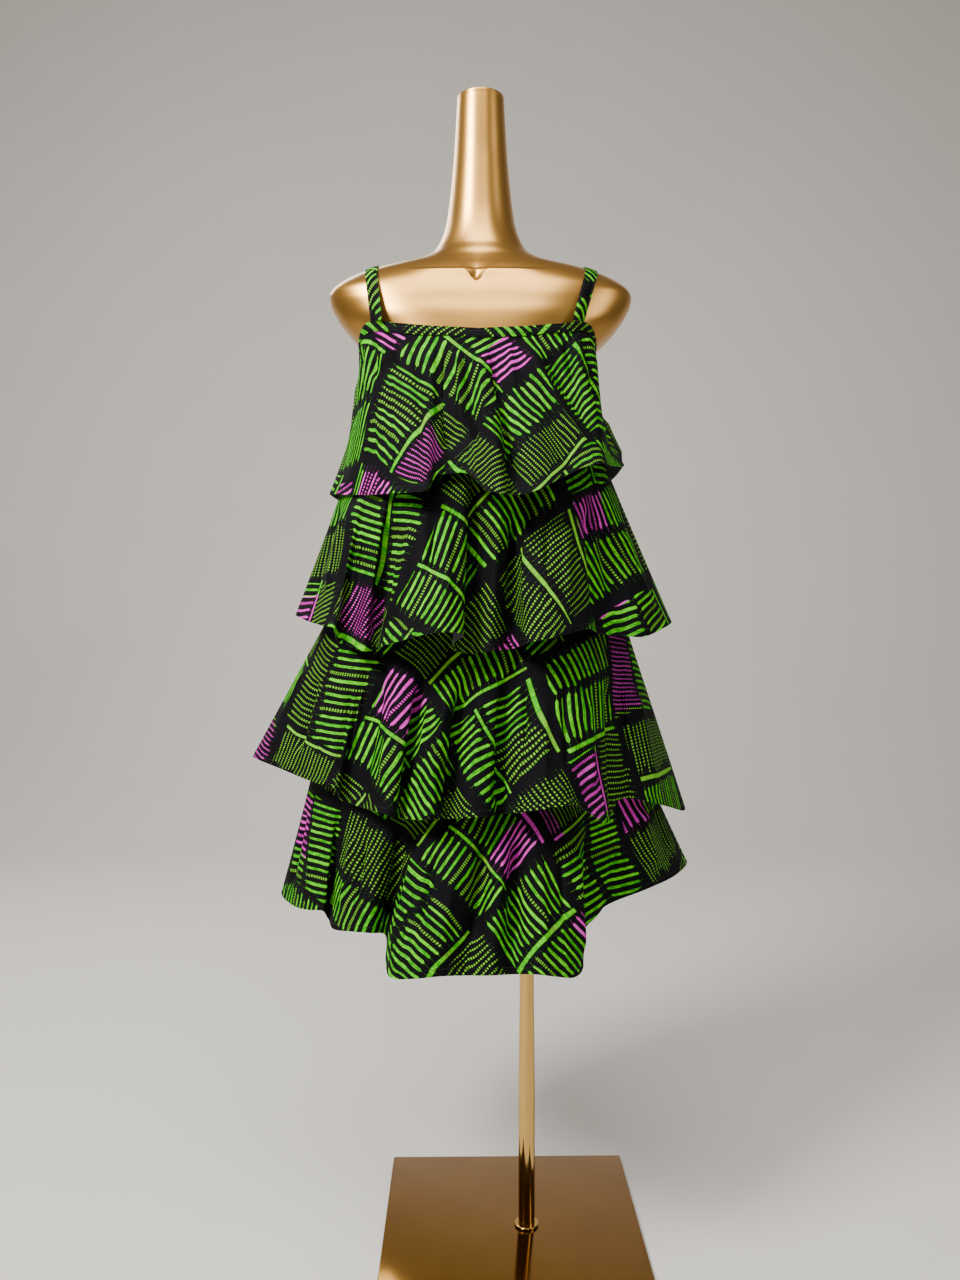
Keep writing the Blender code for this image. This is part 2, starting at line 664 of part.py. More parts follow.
def build_straps():
    """Two flat shoulder straps lying over the form from band to band."""
    for name, places in STRAPS.items():
        left = strap_edge(places, -0.5 * STRAP_WIDTH)
        right = strap_edge(places, 0.5 * STRAP_WIDTH)
        way = np.gradient(0.5 * (left + right), axis=0)
        out = np.cross(right - left, way)
        out /= np.linalg.norm(out, axis=1, keepdims=True)
        out[0] = (0.0, -1.0, 0.0)
        out[-1] = (0.0, 1.0, 0.0)
        corners = [left, right, right + WALL * out, left + WALL * out]
        points = np.stack(corners, axis=1).reshape(-1, 3)
        count = len(left)
        faces = [(4 * i + k, 4 * i + (k + 1) % 4, 4 * i + 4 + (k + 1) % 4, 4 * i + 4 + k)
                 for i in range(count - 1) for k in range(4)]
        faces.append((0, 1, 2, 3))
        faces.append(tuple(4 * (count - 1) + k for k in range(4)))
        piece = add_object(name, mesh_of(name, points, faces), PRINTED_COTTON)
        piece.data.shade_smooth()
        piece.data.set_sharp_from_angle(angle=math.radians(50))


def build_stand():
    """Square plate, foot ring, tapered pole and the socket under the form."""
    shape = bmesh.new()
    bmesh.ops.create_cube(shape, size=1.0)
    bmesh.ops.scale(shape, vec=(PLATE_SIDE, PLATE_SIDE, PLATE_THICK), verts=shape.verts)
    bmesh.ops.translate(shape, vec=(0.0, 0.0, 0.5 * PLATE_THICK), verts=shape.verts)
    mesh = bpy.data.meshes.new("base_plate")
    shape.to_mesh(mesh)
    shape.free()
    plate = add_object("base_plate", mesh, BRASS)
    bevel = plate.modifiers.new("eased_edges", "BEVEL")
    bevel.width = PLATE_BEVEL
    bevel.segments = 2
    foot = PLATE_THICK + TOUCH
    centre = (POLE_X, 0.0)
    pole = [(POLE_PROFILE[0][0], foot), *POLE_PROFILE, (POLE_PROFILE[-1][0], POLE_TOP)]
    capped_turned("pole", pole, centre, BRASS, 24)
    inner = pole[0][0] + TOUCH
    ring = [(inner, foot), (RING_RADIUS, foot), (RING_RADIUS, foot + 0.6 * RING_HEIGHT),
            (RING_RADIUS - 0.001, foot + RING_HEIGHT), (inner, foot + RING_HEIGHT)]
    turned("foot_ring", ring, centre, BRASS, 24)
    socket = [(SOCKET_NECK, POLE_TOP + TOUCH),
              (SOCKET_NECK + 0.002, POLE_TOP + 0.75 * SOCKET_PLATE),
              (SOCKET_RADIUS, POLE_TOP + SOCKET_PLATE), (SOCKET_RADIUS, FORM_BOTTOM - TOUCH)]
    capped_turned("form_socket", socket, centre, BRASS, 24)


clear_scene()
build_stand()
build_form()
build_foundation()
build_flounces()
build_straps()
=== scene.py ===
"""Looks of the layered dress on its limbless form and pole stand.

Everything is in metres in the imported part's own frame: the origin is the middle of the
stand plate's underside, +Z is up, +X is the right side as the front is looked at and +Y
runs to the back. The tables of sections, edges, hems and creases hold millimetres.
"""
import math
from functools import partial

import bmesh
import bpy
import numpy as np
from bpy.props import FloatProperty, FloatVectorProperty, PointerProperty
from mathutils.bvhtree import BVHTree
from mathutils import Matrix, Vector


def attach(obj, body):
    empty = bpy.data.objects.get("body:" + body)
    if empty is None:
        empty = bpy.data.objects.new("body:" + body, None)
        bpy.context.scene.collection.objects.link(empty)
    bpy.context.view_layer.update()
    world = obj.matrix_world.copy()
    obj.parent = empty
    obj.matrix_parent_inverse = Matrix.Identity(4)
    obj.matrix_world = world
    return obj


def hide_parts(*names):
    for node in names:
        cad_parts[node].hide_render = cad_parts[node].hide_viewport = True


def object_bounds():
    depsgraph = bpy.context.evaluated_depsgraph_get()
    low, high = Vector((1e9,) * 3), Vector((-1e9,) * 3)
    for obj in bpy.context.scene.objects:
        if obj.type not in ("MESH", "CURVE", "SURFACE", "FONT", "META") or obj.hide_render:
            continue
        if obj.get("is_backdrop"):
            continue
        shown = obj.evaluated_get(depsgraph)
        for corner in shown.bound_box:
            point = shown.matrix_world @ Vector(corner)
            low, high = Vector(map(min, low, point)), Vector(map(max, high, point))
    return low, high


bl_info = {
    "name": "Layered Dress on Dress Form",
    "version": (1, 0, 0),
    "blender": (4, 5, 0),
    "location": "3D View > Sidebar > Dress",
    "description": "Builds the looks of a tiered printed dress on a gold dress form",
    "category": "Object",
}

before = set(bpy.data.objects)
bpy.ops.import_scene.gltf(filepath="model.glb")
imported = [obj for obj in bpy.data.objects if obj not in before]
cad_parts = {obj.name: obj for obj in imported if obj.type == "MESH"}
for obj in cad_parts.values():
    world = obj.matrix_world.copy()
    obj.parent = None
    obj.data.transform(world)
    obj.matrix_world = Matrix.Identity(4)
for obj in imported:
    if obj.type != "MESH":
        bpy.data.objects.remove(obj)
CAD_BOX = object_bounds()

MM = 0.001
TOUCH = 0.0003              # gap between pieces of the stand and the form
TURNED_SIDES = 96

# Edges stay sharp where their faces meet at more degrees than these
PLATE_SHARP = 30.0
TURNED_SHARP = 35.0
FORM_SHARP = 50.0
CLOTH_SHARP = 60.0

# Stand and form
PLATE_SIDE = 0.350
PLATE_THICK = 0.006
PLATE_CORNER = 0.0025       # radius of the plate's upright corners
PLATE_RIM = 0.0007          # ease of its upper and lower rims
POLE_X = 0.020
POLE_TOP = 0.6200
RING_RADIUS = 0.0165
RING_HEIGHT = 0.003
RING_EASE = 0.0012
SOCKET_RADIUS = 0.030
FORM_X = -0.043
FORM_BOTTOM = 0.645
SHOULDER_TIP = 1.266
SHOULDER_ROOT = 1.318
NECK_TOP = 1.5370
CAP_TOP = 1.5420
CAP_RADIUS = 0.0316
CAP_EASE = 0.0010
CAP_FOOT_EASE = 0.0006

# Turned profiles: radius and height, from the foot up
POLE_PROFILE = [
    (0.0113, PLATE_THICK + TOUCH), (0.0113, 0.120), (0.01128, 0.200), (0.0108, 0.250),
    (0.0099, 0.320), (0.00965, 0.380), (0.0096, 0.450), (0.0096, POLE_TOP),
]
SOCKET_PROFILE = [
    (0.0150, POLE_TOP + TOUCH), (0.0158, POLE_TOP + 0.008), (0.0176, POLE_TOP + 0.0125),
    (SOCKET_RADIUS - 0.001, POLE_TOP + 0.0152), (SOCKET_RADIUS, POLE_TOP + 0.0162),
    (SOCKET_RADIUS, FORM_BOTTOM - TOUCH),
]

# Cloth
DRESS_X = -0.048
WALL = 0.0016               # wall of the solids, which sets how far apart the layers lie
FINE_WALL = 0.0009          # wall of the cloth that shows
LAYER = WALL + 0.0009       # from the foundation's face to that of the layer on it
SEAM_HALF_GAP = 0.0002
EDGE_ROOM = 0.0006          # the first flounce's top edge keeps this clear of the foundation
FACET_ROOM = 0.0010         # room for the flat faces of the foundation's solid
BAND_GAP = 0.0005
TOP_DROP = 0.0008           # cloth under the band ends this far below its top
SECTION_POWER = 2.4         # roundness of the foundation's sections
ROOM_GAP = 0.0012           # gap to the flounce above
ROOM_SLOPE = 0.7            # how fast the room widens where no flounce hangs over it
ROOM_BLEND = 0.003
ROOM_START = 0.02           # room is read from this far over the next seam
ROOM_END = 0.14             # down to this far under the hem
ROOM_FOR_NEXT = 0.0095      # a flounce stands off this far over the next one's seam
MAKING_ROOM = 0.070         # and comes to that over this height
REACH_BLEND = 0.0008

# Form sections: height, half width, middle to the back, half depth, roundness
FORM_SECTIONS = [
    (1537, 31.6, 6, 31.6, 2.0),
    (1495, 34.0, 7, 34.0, 2.0),
    (1455, 36.7, 8, 37.0, 2.0),
    (1392, 43.5, 9, 44.0, 2.0),
    (1359, 50.5, 10, 50.0, 2.0),
    (1334, 64.0, 10, 56.0, 2.0),
    (1323, 80.0, 9, 60.0, 2.0),
    (1314, 108, 7, 62.0, 2.0),
    (1305, 146, 4, 65.0, 2.1),
    (1297, 168, 2, 69.0, 2.2),
    (1287, 187, 0, 73.0, 2.3),
    (1274, 201, 0, 78.0, 2.5),
    (1259, 201, -1, 82.0, 2.5),
    (1244, 194, -2, 85.0, 2.5),
    (1229, 184, -3, 88.0, 2.5),
    (1214, 171, -4, 90.0, 2.45),
    (1200, 157, -5, 91.5, 2.45),
    (1185, 146, -6, 94.0, 2.4),
    (1160, 141, -8, 97.0, 2.4),
    (1110, 141, -12, 101, 2.4),
    (1070, 140, -12, 101, 2.3),
    (1000, 128, -7, 88.0, 2.2),
    (930, 120, 0, 82.0, 2.2),
    (850, 140, 5, 94.0, 2.3),
    (780, 158, 8, 104, 2.3),
    (730, 162, 8, 108, 2.3),
    (680, 159, 7, 105, 2.3),
    (655, 152, 6, 100, 2.3),
    (645, 144, 6, 93.0, 2.3),
]

# Collarbones: the chest starts with a soft ledge at their line, broken by a notch. All in
# millimetres; the line lifts a little to both ends.
COLLAR_LINE = 1289.0
COLLAR_LIFT = 2.0
COLLAR_HALF = 100.0
COLLAR_RISE = 3.4
COLLAR_EDGE = 3.0
COLLAR_FADE = 17.0
NOTCH_PLACE = -50.0
NOTCH_FOOT = 1268.0
NOTCH_TOP = 1322.0
NOTCH_SPREAD = 11.0          # half width gained on the way from its foot to the line
NOTCH_DEPTH = 6.0
NOTCH_TIP = 0.8              # half width at its foot
NOTCH_FALL = 0.6             # how fast its depth falls to its sides
NOTCH_POWER = 1.2
NOTCH_DEEPENS = 3.0          # full depth at one part in three of the way to the line
NOTCH_REACH = 2.5            # no wider than at this many times that way
COLLAR_ENDS = 0.55           # share of the ledge's half length in which it fades out
FRONT_FADE = 2.5             # how fast it comes in from the form's sides

# Mesh of the form: step from row to row, and columns as turns from start to end and how many
FORM_STEP = 5.0
COLLAR_STEP = 1.2
COLLAR_MARGIN = 12.0
FRONT_COLUMNS = (250.0, 290.0, 160)
OTHER_COLUMNS = (290.0, 610.0, 180)

# Top edge of the dress: turn from the front in degrees, height of the band's top
TOP_EDGE = [
    (0, 1201), (30, 1205), (50, 1212), (60, 1217), (67, 1207), (75, 1186), (83, 1169),
    (90, 1162), (98, 1166), (108, 1184), (117, 1203), (125, 1209), (135, 1206),
    (155, 1199), (180, 1195),
]

# Foundation sections: height, half width, reach to the front, reach to the back
FOUNDATION_SECTIONS = [
    (1217, 182, 101, 94),
    (1200, 166, 103, 96),
    (1185, 156, 106, 98),
    (1160, 152, 112, 101),
    (1100, 156, 120, 103),
    (1040, 163, 124, 104),
    (940, 178, 128, 110),
    (860, 190, 134, 120),
    (760, 202, 142, 132),
    (660, 213, 150, 140),
    (640, 215, 152, 142),
]
FOUNDATION_BOTTOM = 0.640

# Hems: across and away place and height of each ridge, valley and turn, and where that fold
# starts on the flounce's own seam (0 left side, 1 right side, 2 left side again)
HEM_1 = [
    (-248, 0, 1008, 0.00), (-230, -42, 1002, 0.05), (-206, -80, 997, 0.10),
    (-184, -111, 993, 0.15), (-161, -138, 991, 0.20),
    (-129, -178, 988, 0.27), (-110, -188, 990, 0.32), (-98, -168, 1008, 0.36),
    (-82, -158, 1013, 0.40), (-61, -168, 1011, 0.44), (-41, -190, 990, 0.49),
    (-20, -203, 983, 0.53), (-7, -178, 985, 0.57), (12, -192, 986, 0.61),
    (34, -188, 996, 0.67), (60, -165, 1012, 0.72), (77, -160, 1020, 0.77),
    (101, -152, 1027, 0.83), (120, -104, 1031, 0.90), (143, -44, 1039, 0.96),
    (151, 0, 1047, 1.00), (146, 45, 1038, 1.06), (128, 95, 1024, 1.13),
    (108, 108, 1018, 1.18), (88, 150, 1006, 1.24), (55, 168, 998, 1.31),
    (35, 150, 1000, 1.36), (10, 172, 992, 1.42), (-30, 186, 986, 1.49),
    (-58, 162, 992, 1.54), (-85, 178, 988, 1.60), (-122, 166, 990, 1.67),
    (-140, 140, 998, 1.72), (-170, 140, 994, 1.78), (-212, 100, 996, 1.86),
    (-236, 52, 1002, 1.93),
]
HEM_2 = [
    (-295, 5, 844, 0.00), (-266, -62, 835, 0.06), (-238, -115, 830, 0.13),
    (-224, -140, 827, 0.17), (-221, -124, 811, 0.20), (-206, -130, 805, 0.23),
    (-188, -160, 800, 0.25), (-172, -146, 801, 0.27), (-161, -176, 807, 0.30),
    (-140, -202, 813, 0.34), (-104, -214, 822, 0.41), (-75, -207, 823, 0.46),
    (-66, -190, 818, 0.48), (-78, -174, 810, 0.495), (-76, -158, 801, 0.515),
    (-57, -166, 797, 0.55), (-35, -186, 801, 0.59), (-8, -164, 803, 0.64),
    (8, -204, 811, 0.68), (33, -210, 816, 0.73), (59, -197, 822, 0.78),
    (84, -172, 827, 0.82), (100, -140, 821, 0.86), (132, -124, 818, 0.89),
    (160, -118, 817, 0.92), (198, -62, 829, 0.96),
    (218, 5, 835, 1.00), (213, 52, 828, 1.05), (190, 98, 820, 1.12),
    (160, 110, 815, 1.17), (140, 150, 812, 1.22), (105, 178, 808, 1.28),
    (84, 158, 806, 1.33), (58, 192, 806, 1.38), (18, 206, 802, 1.44),
    (-8, 180, 800, 1.48), (-40, 204, 802, 1.54), (-82, 210, 806, 1.60),
    (-106, 182, 804, 1.65), (-140, 192, 808, 1.70), (-178, 172, 812, 1.76),
    (-196, 144, 812, 1.80), (-232, 132, 818, 1.86), (-272, 80, 830, 1.93),
]
HEM_3 = [
    (-353, 0, 652, 0.00), (-300, -72, 645, 0.08), (-257, -116, 637, 0.15),
    (-222, -146, 632, 0.21), (-216, -131, 615, 0.25), (-194, -146, 611, 0.29),
    (-167, -190, 612, 0.33), (-149, -196, 608, 0.36), (-143, -172, 602, 0.39),
    (-127, -192, 604, 0.42), (-106, -216, 608, 0.46), (-85, -190, 604, 0.50),
    (-64, -215, 610, 0.53), (-39, -213, 611, 0.57), (-23, -188, 609, 0.60),
    (-9, -208, 614, 0.63), (15, -229, 621, 0.68), (44, -226, 625, 0.73),
    (62, -213, 624, 0.76), (82, -192, 611, 0.79), (104, -166, 593, 0.82),
    (115, -138, 599, 0.85), (130, -117, 614, 0.88), (155, -118, 613, 0.91),
    (196, -75, 597, 0.955),
    (236, 0, 577, 1.00), (240, 46, 584, 1.04), (224, 98, 592, 1.10),
    (190, 114, 596, 1.15), (176, 156, 600, 1.20), (136, 188, 602, 1.26),
    (112, 166, 600, 1.31), (84, 206, 604, 1.36), (40, 222, 604, 1.42),
    (12, 192, 600, 1.47), (-24, 218, 604, 1.52), (-66, 230, 606, 1.58),
    (-94, 198, 604, 1.63), (-130, 214, 608, 1.68), (-176, 202, 614, 1.73),
    (-200, 170, 614, 1.78), (-244, 164, 622, 1.83), (-296, 116, 634, 1.90),
    (-336, 56, 646, 1.96),
]
HEM_4 = [
    (-315, 0, 466, 0.00), (-291, -56, 465, 0.07), (-266, -92, 469, 0.12),
    (-242, -115, 474, 0.17), (-237, -100, 459, 0.20), (-227, -130, 456, 0.23),
    (-203, -156, 461, 0.28), (-178, -166, 462, 0.32), (-161, -150, 454, 0.36),
    (-158, -188, 436, 0.40), (-149, -234, 433, 0.44), (-122, -250, 437, 0.48),
    (-92, -243, 437, 0.52), (-64, -224, 431, 0.55), (-36, -241, 437, 0.58),
    (-11, -221, 431, 0.61), (15, -241, 438, 0.64), (43, -233, 432, 0.68),
    (62, -220, 427, 0.71), (75, -192, 429, 0.73), (78, -155, 446, 0.76),
    (92, -124, 467, 0.80), (118, -120, 484, 0.84), (162, -111, 498, 0.89),
    (208, -62, 502, 0.94),
    (239, 0, 503, 1.00), (243, 46, 500, 1.04), (222, 100, 492, 1.10),
    (188, 120, 484, 1.15), (176, 164, 474, 1.20), (134, 198, 462, 1.26),
    (108, 174, 456, 1.31), (82, 216, 448, 1.36), (36, 236, 442, 1.42),
    (6, 204, 440, 1.47), (-28, 236, 438, 1.52), (-74, 246, 440, 1.58),
    (-104, 210, 440, 1.63), (-136, 226, 444, 1.68), (-182, 208, 452, 1.74),
    (-204, 170, 454, 1.79), (-240, 160, 460, 1.84), (-280, 104, 464, 1.91),
    (-304, 50, 466, 1.96),
]

# Creases on each flounce: place on the seam, start and end as shares of the way down, drift
# along the seam on that way, half width and depth (a trough is below zero)
CREASES_1 = [
    (0.07, 0.09, 0.75, -0.010, 9, 2.4), (0.13, 0.09, 0.50, -0.006, 6, -2.6),
    (0.175, 0.09, 0.34, 0.004, 4, -3.0), (0.20, 0.09, 0.28, 0.004, 4, 2.0),
    (0.225, 0.09, 0.30, 0.006, 4, -2.4), (0.29, 0.16, 0.92, 0.012, 8, -2.6),
    (0.335, 0.10, 0.70, -0.006, 9, 2.2), (0.398, 0.09, 0.86, -0.004, 7, -7.5),
    (0.430, 0.12, 0.74, 0.004, 6, 3.4), (0.462, 0.22, 0.80, 0.010, 6, -2.8),
    (0.505, 0.12, 0.70, 0.008, 7, 2.6), (0.548, 0.09, 0.46, 0.004, 4, -5.0),
    (0.566, 0.30, 0.96, 0.010, 6, -4.0), (0.610, 0.09, 0.42, 0.006, 6, 2.0),
    (0.655, 0.09, 0.98, 0.150, 11, 6.0), (0.710, 0.12, 0.94, 0.145, 8, -4.5),
    (0.780, 0.09, 0.50, 0.012, 4, -2.6), (0.805, 0.09, 0.42, 0.010, 4, 2.2),
    (0.835, 0.09, 0.60, 0.014, 5, -2.8), (0.93, 0.20, 0.85, 0.010, 9, -2.4),
    (0.995, 0.42, 0.97, 0.0, 13, 3.4),
    (1.09, 0.12, 0.80, 0.010, 9, -2.6), (1.16, 0.09, 0.45, 0.004, 5, 2.4),
    (1.21, 0.09, 0.90, 0.012, 8, 4.0), (1.275, 0.10, 0.55, -0.006, 5, -3.0),
    (1.34, 0.09, 0.88, 0.010, 7, -5.0), (1.385, 0.15, 0.62, 0.004, 6, 2.4),
    (1.45, 0.09, 0.74, -0.010, 9, 3.0), (1.515, 0.09, 0.90, 0.012, 7, -5.4),
    (1.57, 0.12, 0.52, 0.004, 5, 2.2), (1.63, 0.10, 0.70, -0.006, 6, -2.6),
    (1.70, 0.09, 0.92, 0.006, 8, -4.2), (1.78, 0.09, 0.48, 0.004, 6, 2.6),
    (1.86, 0.14, 0.84, 0.012, 10, -2.6), (1.94, 0.09, 0.60, 0.004, 8, 2.0),
]
CREASES_2 = [
    (0.05, 0.30, 0.95, -0.010, 9, -3.0), (0.10, 0.38, 0.86, 0.004, 7, 2.4),
    (0.155, 0.42, 0.98, 0.006, 9, -2.6), (0.21, 0.40, 0.82, 0.004, 5, 2.4),
    (0.262, 0.36, 0.98, 0.006, 6, -4.6), (0.285, 0.40, 0.84, 0.006, 6, -3.4),
    (0.335, 0.42, 0.90, -0.008, 9, 3.4), (0.385, 0.40, 0.74, 0.008, 5, -2.8),
    (0.430, 0.46, 0.96, 0.012, 8, 2.6), (0.505, 0.38, 0.96, 0.008, 6, -4.4),
    (0.545, 0.40, 0.76, 0.004, 5, 2.2), (0.585, 0.44, 0.92, 0.004, 7, 3.0),
    (0.628, 0.38, 0.98, 0.006, 6, -5.0), (0.665, 0.42, 0.86, 0.004, 6, 3.0),
    (0.715, 0.40, 0.70, 0.006, 5, -2.4), (0.765, 0.46, 0.92, 0.012, 8, 2.4),
    (0.835, 0.38, 0.96, 0.014, 8, -5.0), (0.875, 0.42, 0.90, 0.008, 6, -3.0),
    (0.93, 0.44, 0.92, 0.010, 8, 3.0), (1.08, 0.40, 0.90, 0.006, 8, -3.2),
    (1.145, 0.42, 0.80, 0.004, 7, 2.6), (1.20, 0.38, 0.94, 0.008, 7, -4.2),
    (1.255, 0.46, 0.84, -0.004, 8, 3.0), (1.32, 0.40, 0.96, 0.006, 7, -4.8),
    (1.40, 0.44, 0.88, 0.006, 9, 2.8), (1.475, 0.38, 0.96, 0.004, 7, -4.6),
    (1.54, 0.46, 0.82, 0.004, 8, 2.4), (1.585, 0.42, 0.70, -0.004, 5, -2.6),
    (1.645, 0.38, 0.94, 0.008, 7, -4.4), (1.73, 0.44, 0.86, 0.006, 9, 3.0),
    (1.79, 0.40, 0.92, 0.004, 7, -4.0), (1.89, 0.44, 0.88, 0.006, 10, -2.6),
]
CREASES_3 = [
    (0.045, 0.36, 0.96, -0.006, 10, 3.0), (0.10, 0.40, 0.90, 0.004, 7, -3.6),
    (0.155, 0.36, 0.80, 0.004, 7, 2.6), (0.20, 0.42, 0.98, 0.004, 6, -3.8),
    (0.245, 0.38, 0.84, 0.006, 5, 2.4), (0.284, 0.36, 0.98, 0.004, 7, -5.2),
    (0.325, 0.44, 0.88, 0.004, 7, 3.0), (0.382, 0.36, 0.98, 0.004, 6, -5.4),
    (0.415, 0.44, 0.82, 0.004, 5, 2.4), (0.455, 0.40, 0.92, 0.002, 6, 2.6),
    (0.492, 0.36, 0.98, 0.004, 6, -5.0), (0.535, 0.42, 0.80, 0.004, 6, 2.2),
    (0.590, 0.36, 0.98, 0.004, 6, -5.2), (0.640, 0.40, 0.72, 0.006, 5, -2.6),
    (0.690, 0.46, 0.94, 0.008, 9, 3.2), (0.735, 0.38, 0.84, 0.012, 6, -3.0),
    (0.785, 0.42, 0.96, 0.012, 8, 2.8), (0.845, 0.36, 0.98, 0.008, 7, -4.6),
    (0.890, 0.42, 0.80, 0.006, 6, -2.6), (0.93, 0.40, 0.96, 0.010, 10, 3.0),
    (1.07, 0.38, 0.90, 0.006, 8, -3.4), (1.145, 0.40, 0.96, 0.006, 7, -4.4),
    (1.20, 0.44, 0.86, 0.004, 8, 3.0), (1.25, 0.40, 0.70, 0.004, 5, -2.4),
    (1.305, 0.36, 0.96, 0.006, 7, -5.0), (1.36, 0.44, 0.90, 0.004, 8, 2.8),
    (1.41, 0.38, 0.74, 0.004, 5, -2.6), (1.465, 0.36, 0.96, 0.004, 7, -5.0),
    (1.55, 0.42, 0.88, 0.006, 10, 3.0), (1.625, 0.36, 0.96, 0.006, 7, -5.0),
    (1.68, 0.44, 0.84, 0.004, 7, 2.6), (1.775, 0.38, 0.96, 0.006, 8, -4.4),
    (1.85, 0.42, 0.80, 0.004, 8, 2.4), (1.93, 0.40, 0.90, 0.004, 9, -3.2),
]
CREASES_4 = [
    (0.05, 0.38, 0.94, -0.004, 9, -3.2), (0.115, 0.42, 0.90, 0.004, 7, 2.8),
    (0.185, 0.38, 0.98, 0.008, 6, -4.6), (0.235, 0.42, 0.90, 0.010, 6, 2.8),
    (0.27, 0.46, 0.86, 0.004, 5, -2.8), (0.31, 0.42, 0.92, 0.004, 7, 2.4),
    (0.352, 0.36, 0.96, 0.004, 7, -5.0), (0.405, 0.40, 0.96, 0.020, 8, 3.6),
    (0.455, 0.44, 0.80, 0.012, 6, -3.0), (0.505, 0.48, 0.96, 0.006, 9, 2.6),
    (0.548, 0.38, 0.88, 0.004, 6, -4.2), (0.580, 0.42, 0.74, 0.002, 6, 2.4),
    (0.606, 0.36, 0.90, 0.004, 6, -5.0), (0.650, 0.46, 0.94, 0.004, 8, 2.8),
    (0.690, 0.40, 0.76, 0.004, 5, -2.6), (0.722, 0.38, 0.98, 0.004, 6, 3.6),
    (0.770, 0.36, 0.98, 0.006, 7, -5.0), (0.83, 0.42, 0.84, 0.010, 6, -2.6),
    (0.90, 0.40, 0.92, 0.012, 9, 3.2), (0.95, 0.44, 0.86, 0.006, 7, -2.6),
    (1.07, 0.38, 0.90, 0.006, 8, -3.0), (1.15, 0.40, 0.96, 0.004, 7, -4.4),
    (1.205, 0.44, 0.86, 0.004, 8, 3.0), (1.305, 0.36, 0.96, 0.006, 7, -5.0),
    (1.36, 0.44, 0.90, 0.004, 8, 2.8), (1.415, 0.40, 0.74, 0.004, 5, -2.6),
    (1.465, 0.36, 0.96, 0.004, 7, -5.0), (1.55, 0.42, 0.88, 0.006, 10, 3.0),
    (1.625, 0.36, 0.96, 0.006, 7, -5.0), (1.69, 0.44, 0.84, 0.004, 7, 2.6),
    (1.785, 0.38, 0.96, 0.006, 8, -4.4), (1.86, 0.42, 0.80, 0.004, 8, 2.6),
    (1.93, 0.40, 0.90, 0.004, 9, -3.0),
]

# Flounces, top to bottom: height of the seam, power of the flare's growth, how late the
# folds open on the way down, hem, creases
FLOUNCES = [
    (None, 1.5, 1.15, HEM_1, CREASES_1),
    (1075, 1.0, 1.2, HEM_2, CREASES_2),
    (855, 0.95, 1.1, HEM_3, CREASES_3),
    (668, 1.0, 1.2, HEM_4, CREASES_4),
]
FOLD_COLUMNS = 10           # mesh columns between two rows of a hem table
CLOTH_ROWS = 52             # mesh rows from a seam to a hem's stitches
STITCH_ROW = CLOTH_ROWS - 1
HEM_DEPTH = 0.007           # turned hem, seam of its stitches to the edge
HEM_SHARES = (0.12, 0.35, 0.7, 0.93, 1.0)   # its mesh rows
FOUNDATION_COLUMNS = 200
BAND_SHARE = 0.055          # share of the first flounce that the band covers
RIDGE_GAIN = 1.9            # ridges stand this much higher than their table says
TROUGH_GAIN = 2.4           # troughs lie this much deeper
PUFF = 0.006                # how far the gathered cloth puffs out under the band
PUFF_FULL = 0.22            # share of the way down at which it is fullest
CREASE_ENDS = 0.22          # share of a crease's length in which it fades in or out
CREASE_POWER = 1.6          # shape of its cross section
BAND_EDGE, BAND_CROWN = 0.55, 0.45      # wall of the band at its edges, and more between
BAND_POWER = 0.4
LEAST_FLARE = 0.05          # a hem counts as at least this much longer than its seam
CUT_EASE = 8                # a cut is eased over a share of one in 8 rows to each side

# Gathers under the band: how many, their half width, length and depth, smallest to largest
GATHER_COUNT = 92
GATHER_WIDTH = (0.0022, 0.0042)
GATHER_LENGTH = (0.014, 0.052)
GATHER_DEPTH = (0.0004, 0.0015)
GATHER_SEED = 7
GATHER_SHIFT = 0.4          # share of the spacing by which one may be moved
GATHER_START = 0.12         # share of its length in which it comes in

# Room under a flounce is kept on a lattice of turns and heights
LATTICE_TURNS = 240
LATTICE_STEP = 0.003
LATTICE_SPREAD = 3          # cells to each side whose least room counts
LATTICE_REACH = 0.6

# How each cut piece lies on the printed cloth: angle in degrees, offset across and along
CUTS = {
    "flounce_1_front": (2, 0.607, 0.138), "flounce_1_back": (-3, 1.937, 0.522),
    "flounce_2_front": (-4, 0.071, 1.064), "flounce_2_back": (3, 2.118, 1.310),
    "flounce_3_front": (5, 0.318, 2.207), "flounce_3_back": (-2, 2.446, 2.085),
    "flounce_4_front": (-2, 0.196, 3.131), "flounce_4_back": (4, 2.031, 3.348),
    "foundation_front": (0, 4.02, 0.31), "foundation_back": (0, 4.75, 0.31),
    "top_band_front": (0, 4.11, 1.52), "top_band_back": (0, 4.93, 1.52),
    "strap_left": (90, 4.21, 2.02), "strap_right": (90, 4.64, 2.33),
}

# Straps: place across at the band in front, on the shoulder and at the band behind
STRAPS = {
    "strap_left": (-0.1765, -0.1860, -0.1700),
    "strap_right": (0.0790, 0.1010, 0.0760),
}
STRAP_WIDTH = 0.0165
STRAP_ROWS = 44
STRAP_COLUMNS = 8
STRAP_DROP = 0.0004         # a strap's end stands this far over the cloth's top edge
STRAP_CLEARANCE = 0.0008
STRAP_LEAVES = 0.090        # it starts to leave the form this far over the band
STRAP_ARRIVES = 0.85        # share of the way up at which it is at its place on the shoulder
STRAP_EDGE, STRAP_CROWN = 0.75, 0.25    # wall of a strap at its edges, and more between
CREST_STEPS = 30            # halvings that find the shoulder's ridge
TURN_STEPS = 12             # rounds that find a place on the band

# Sewing
STITCH_SIDES = 5
STITCH_RINGS = 4
HEM_LIFT = 0.15 * MM        # how far the thread's middle lies over the cloth
EDGE_LIFT = 0.1 * MM

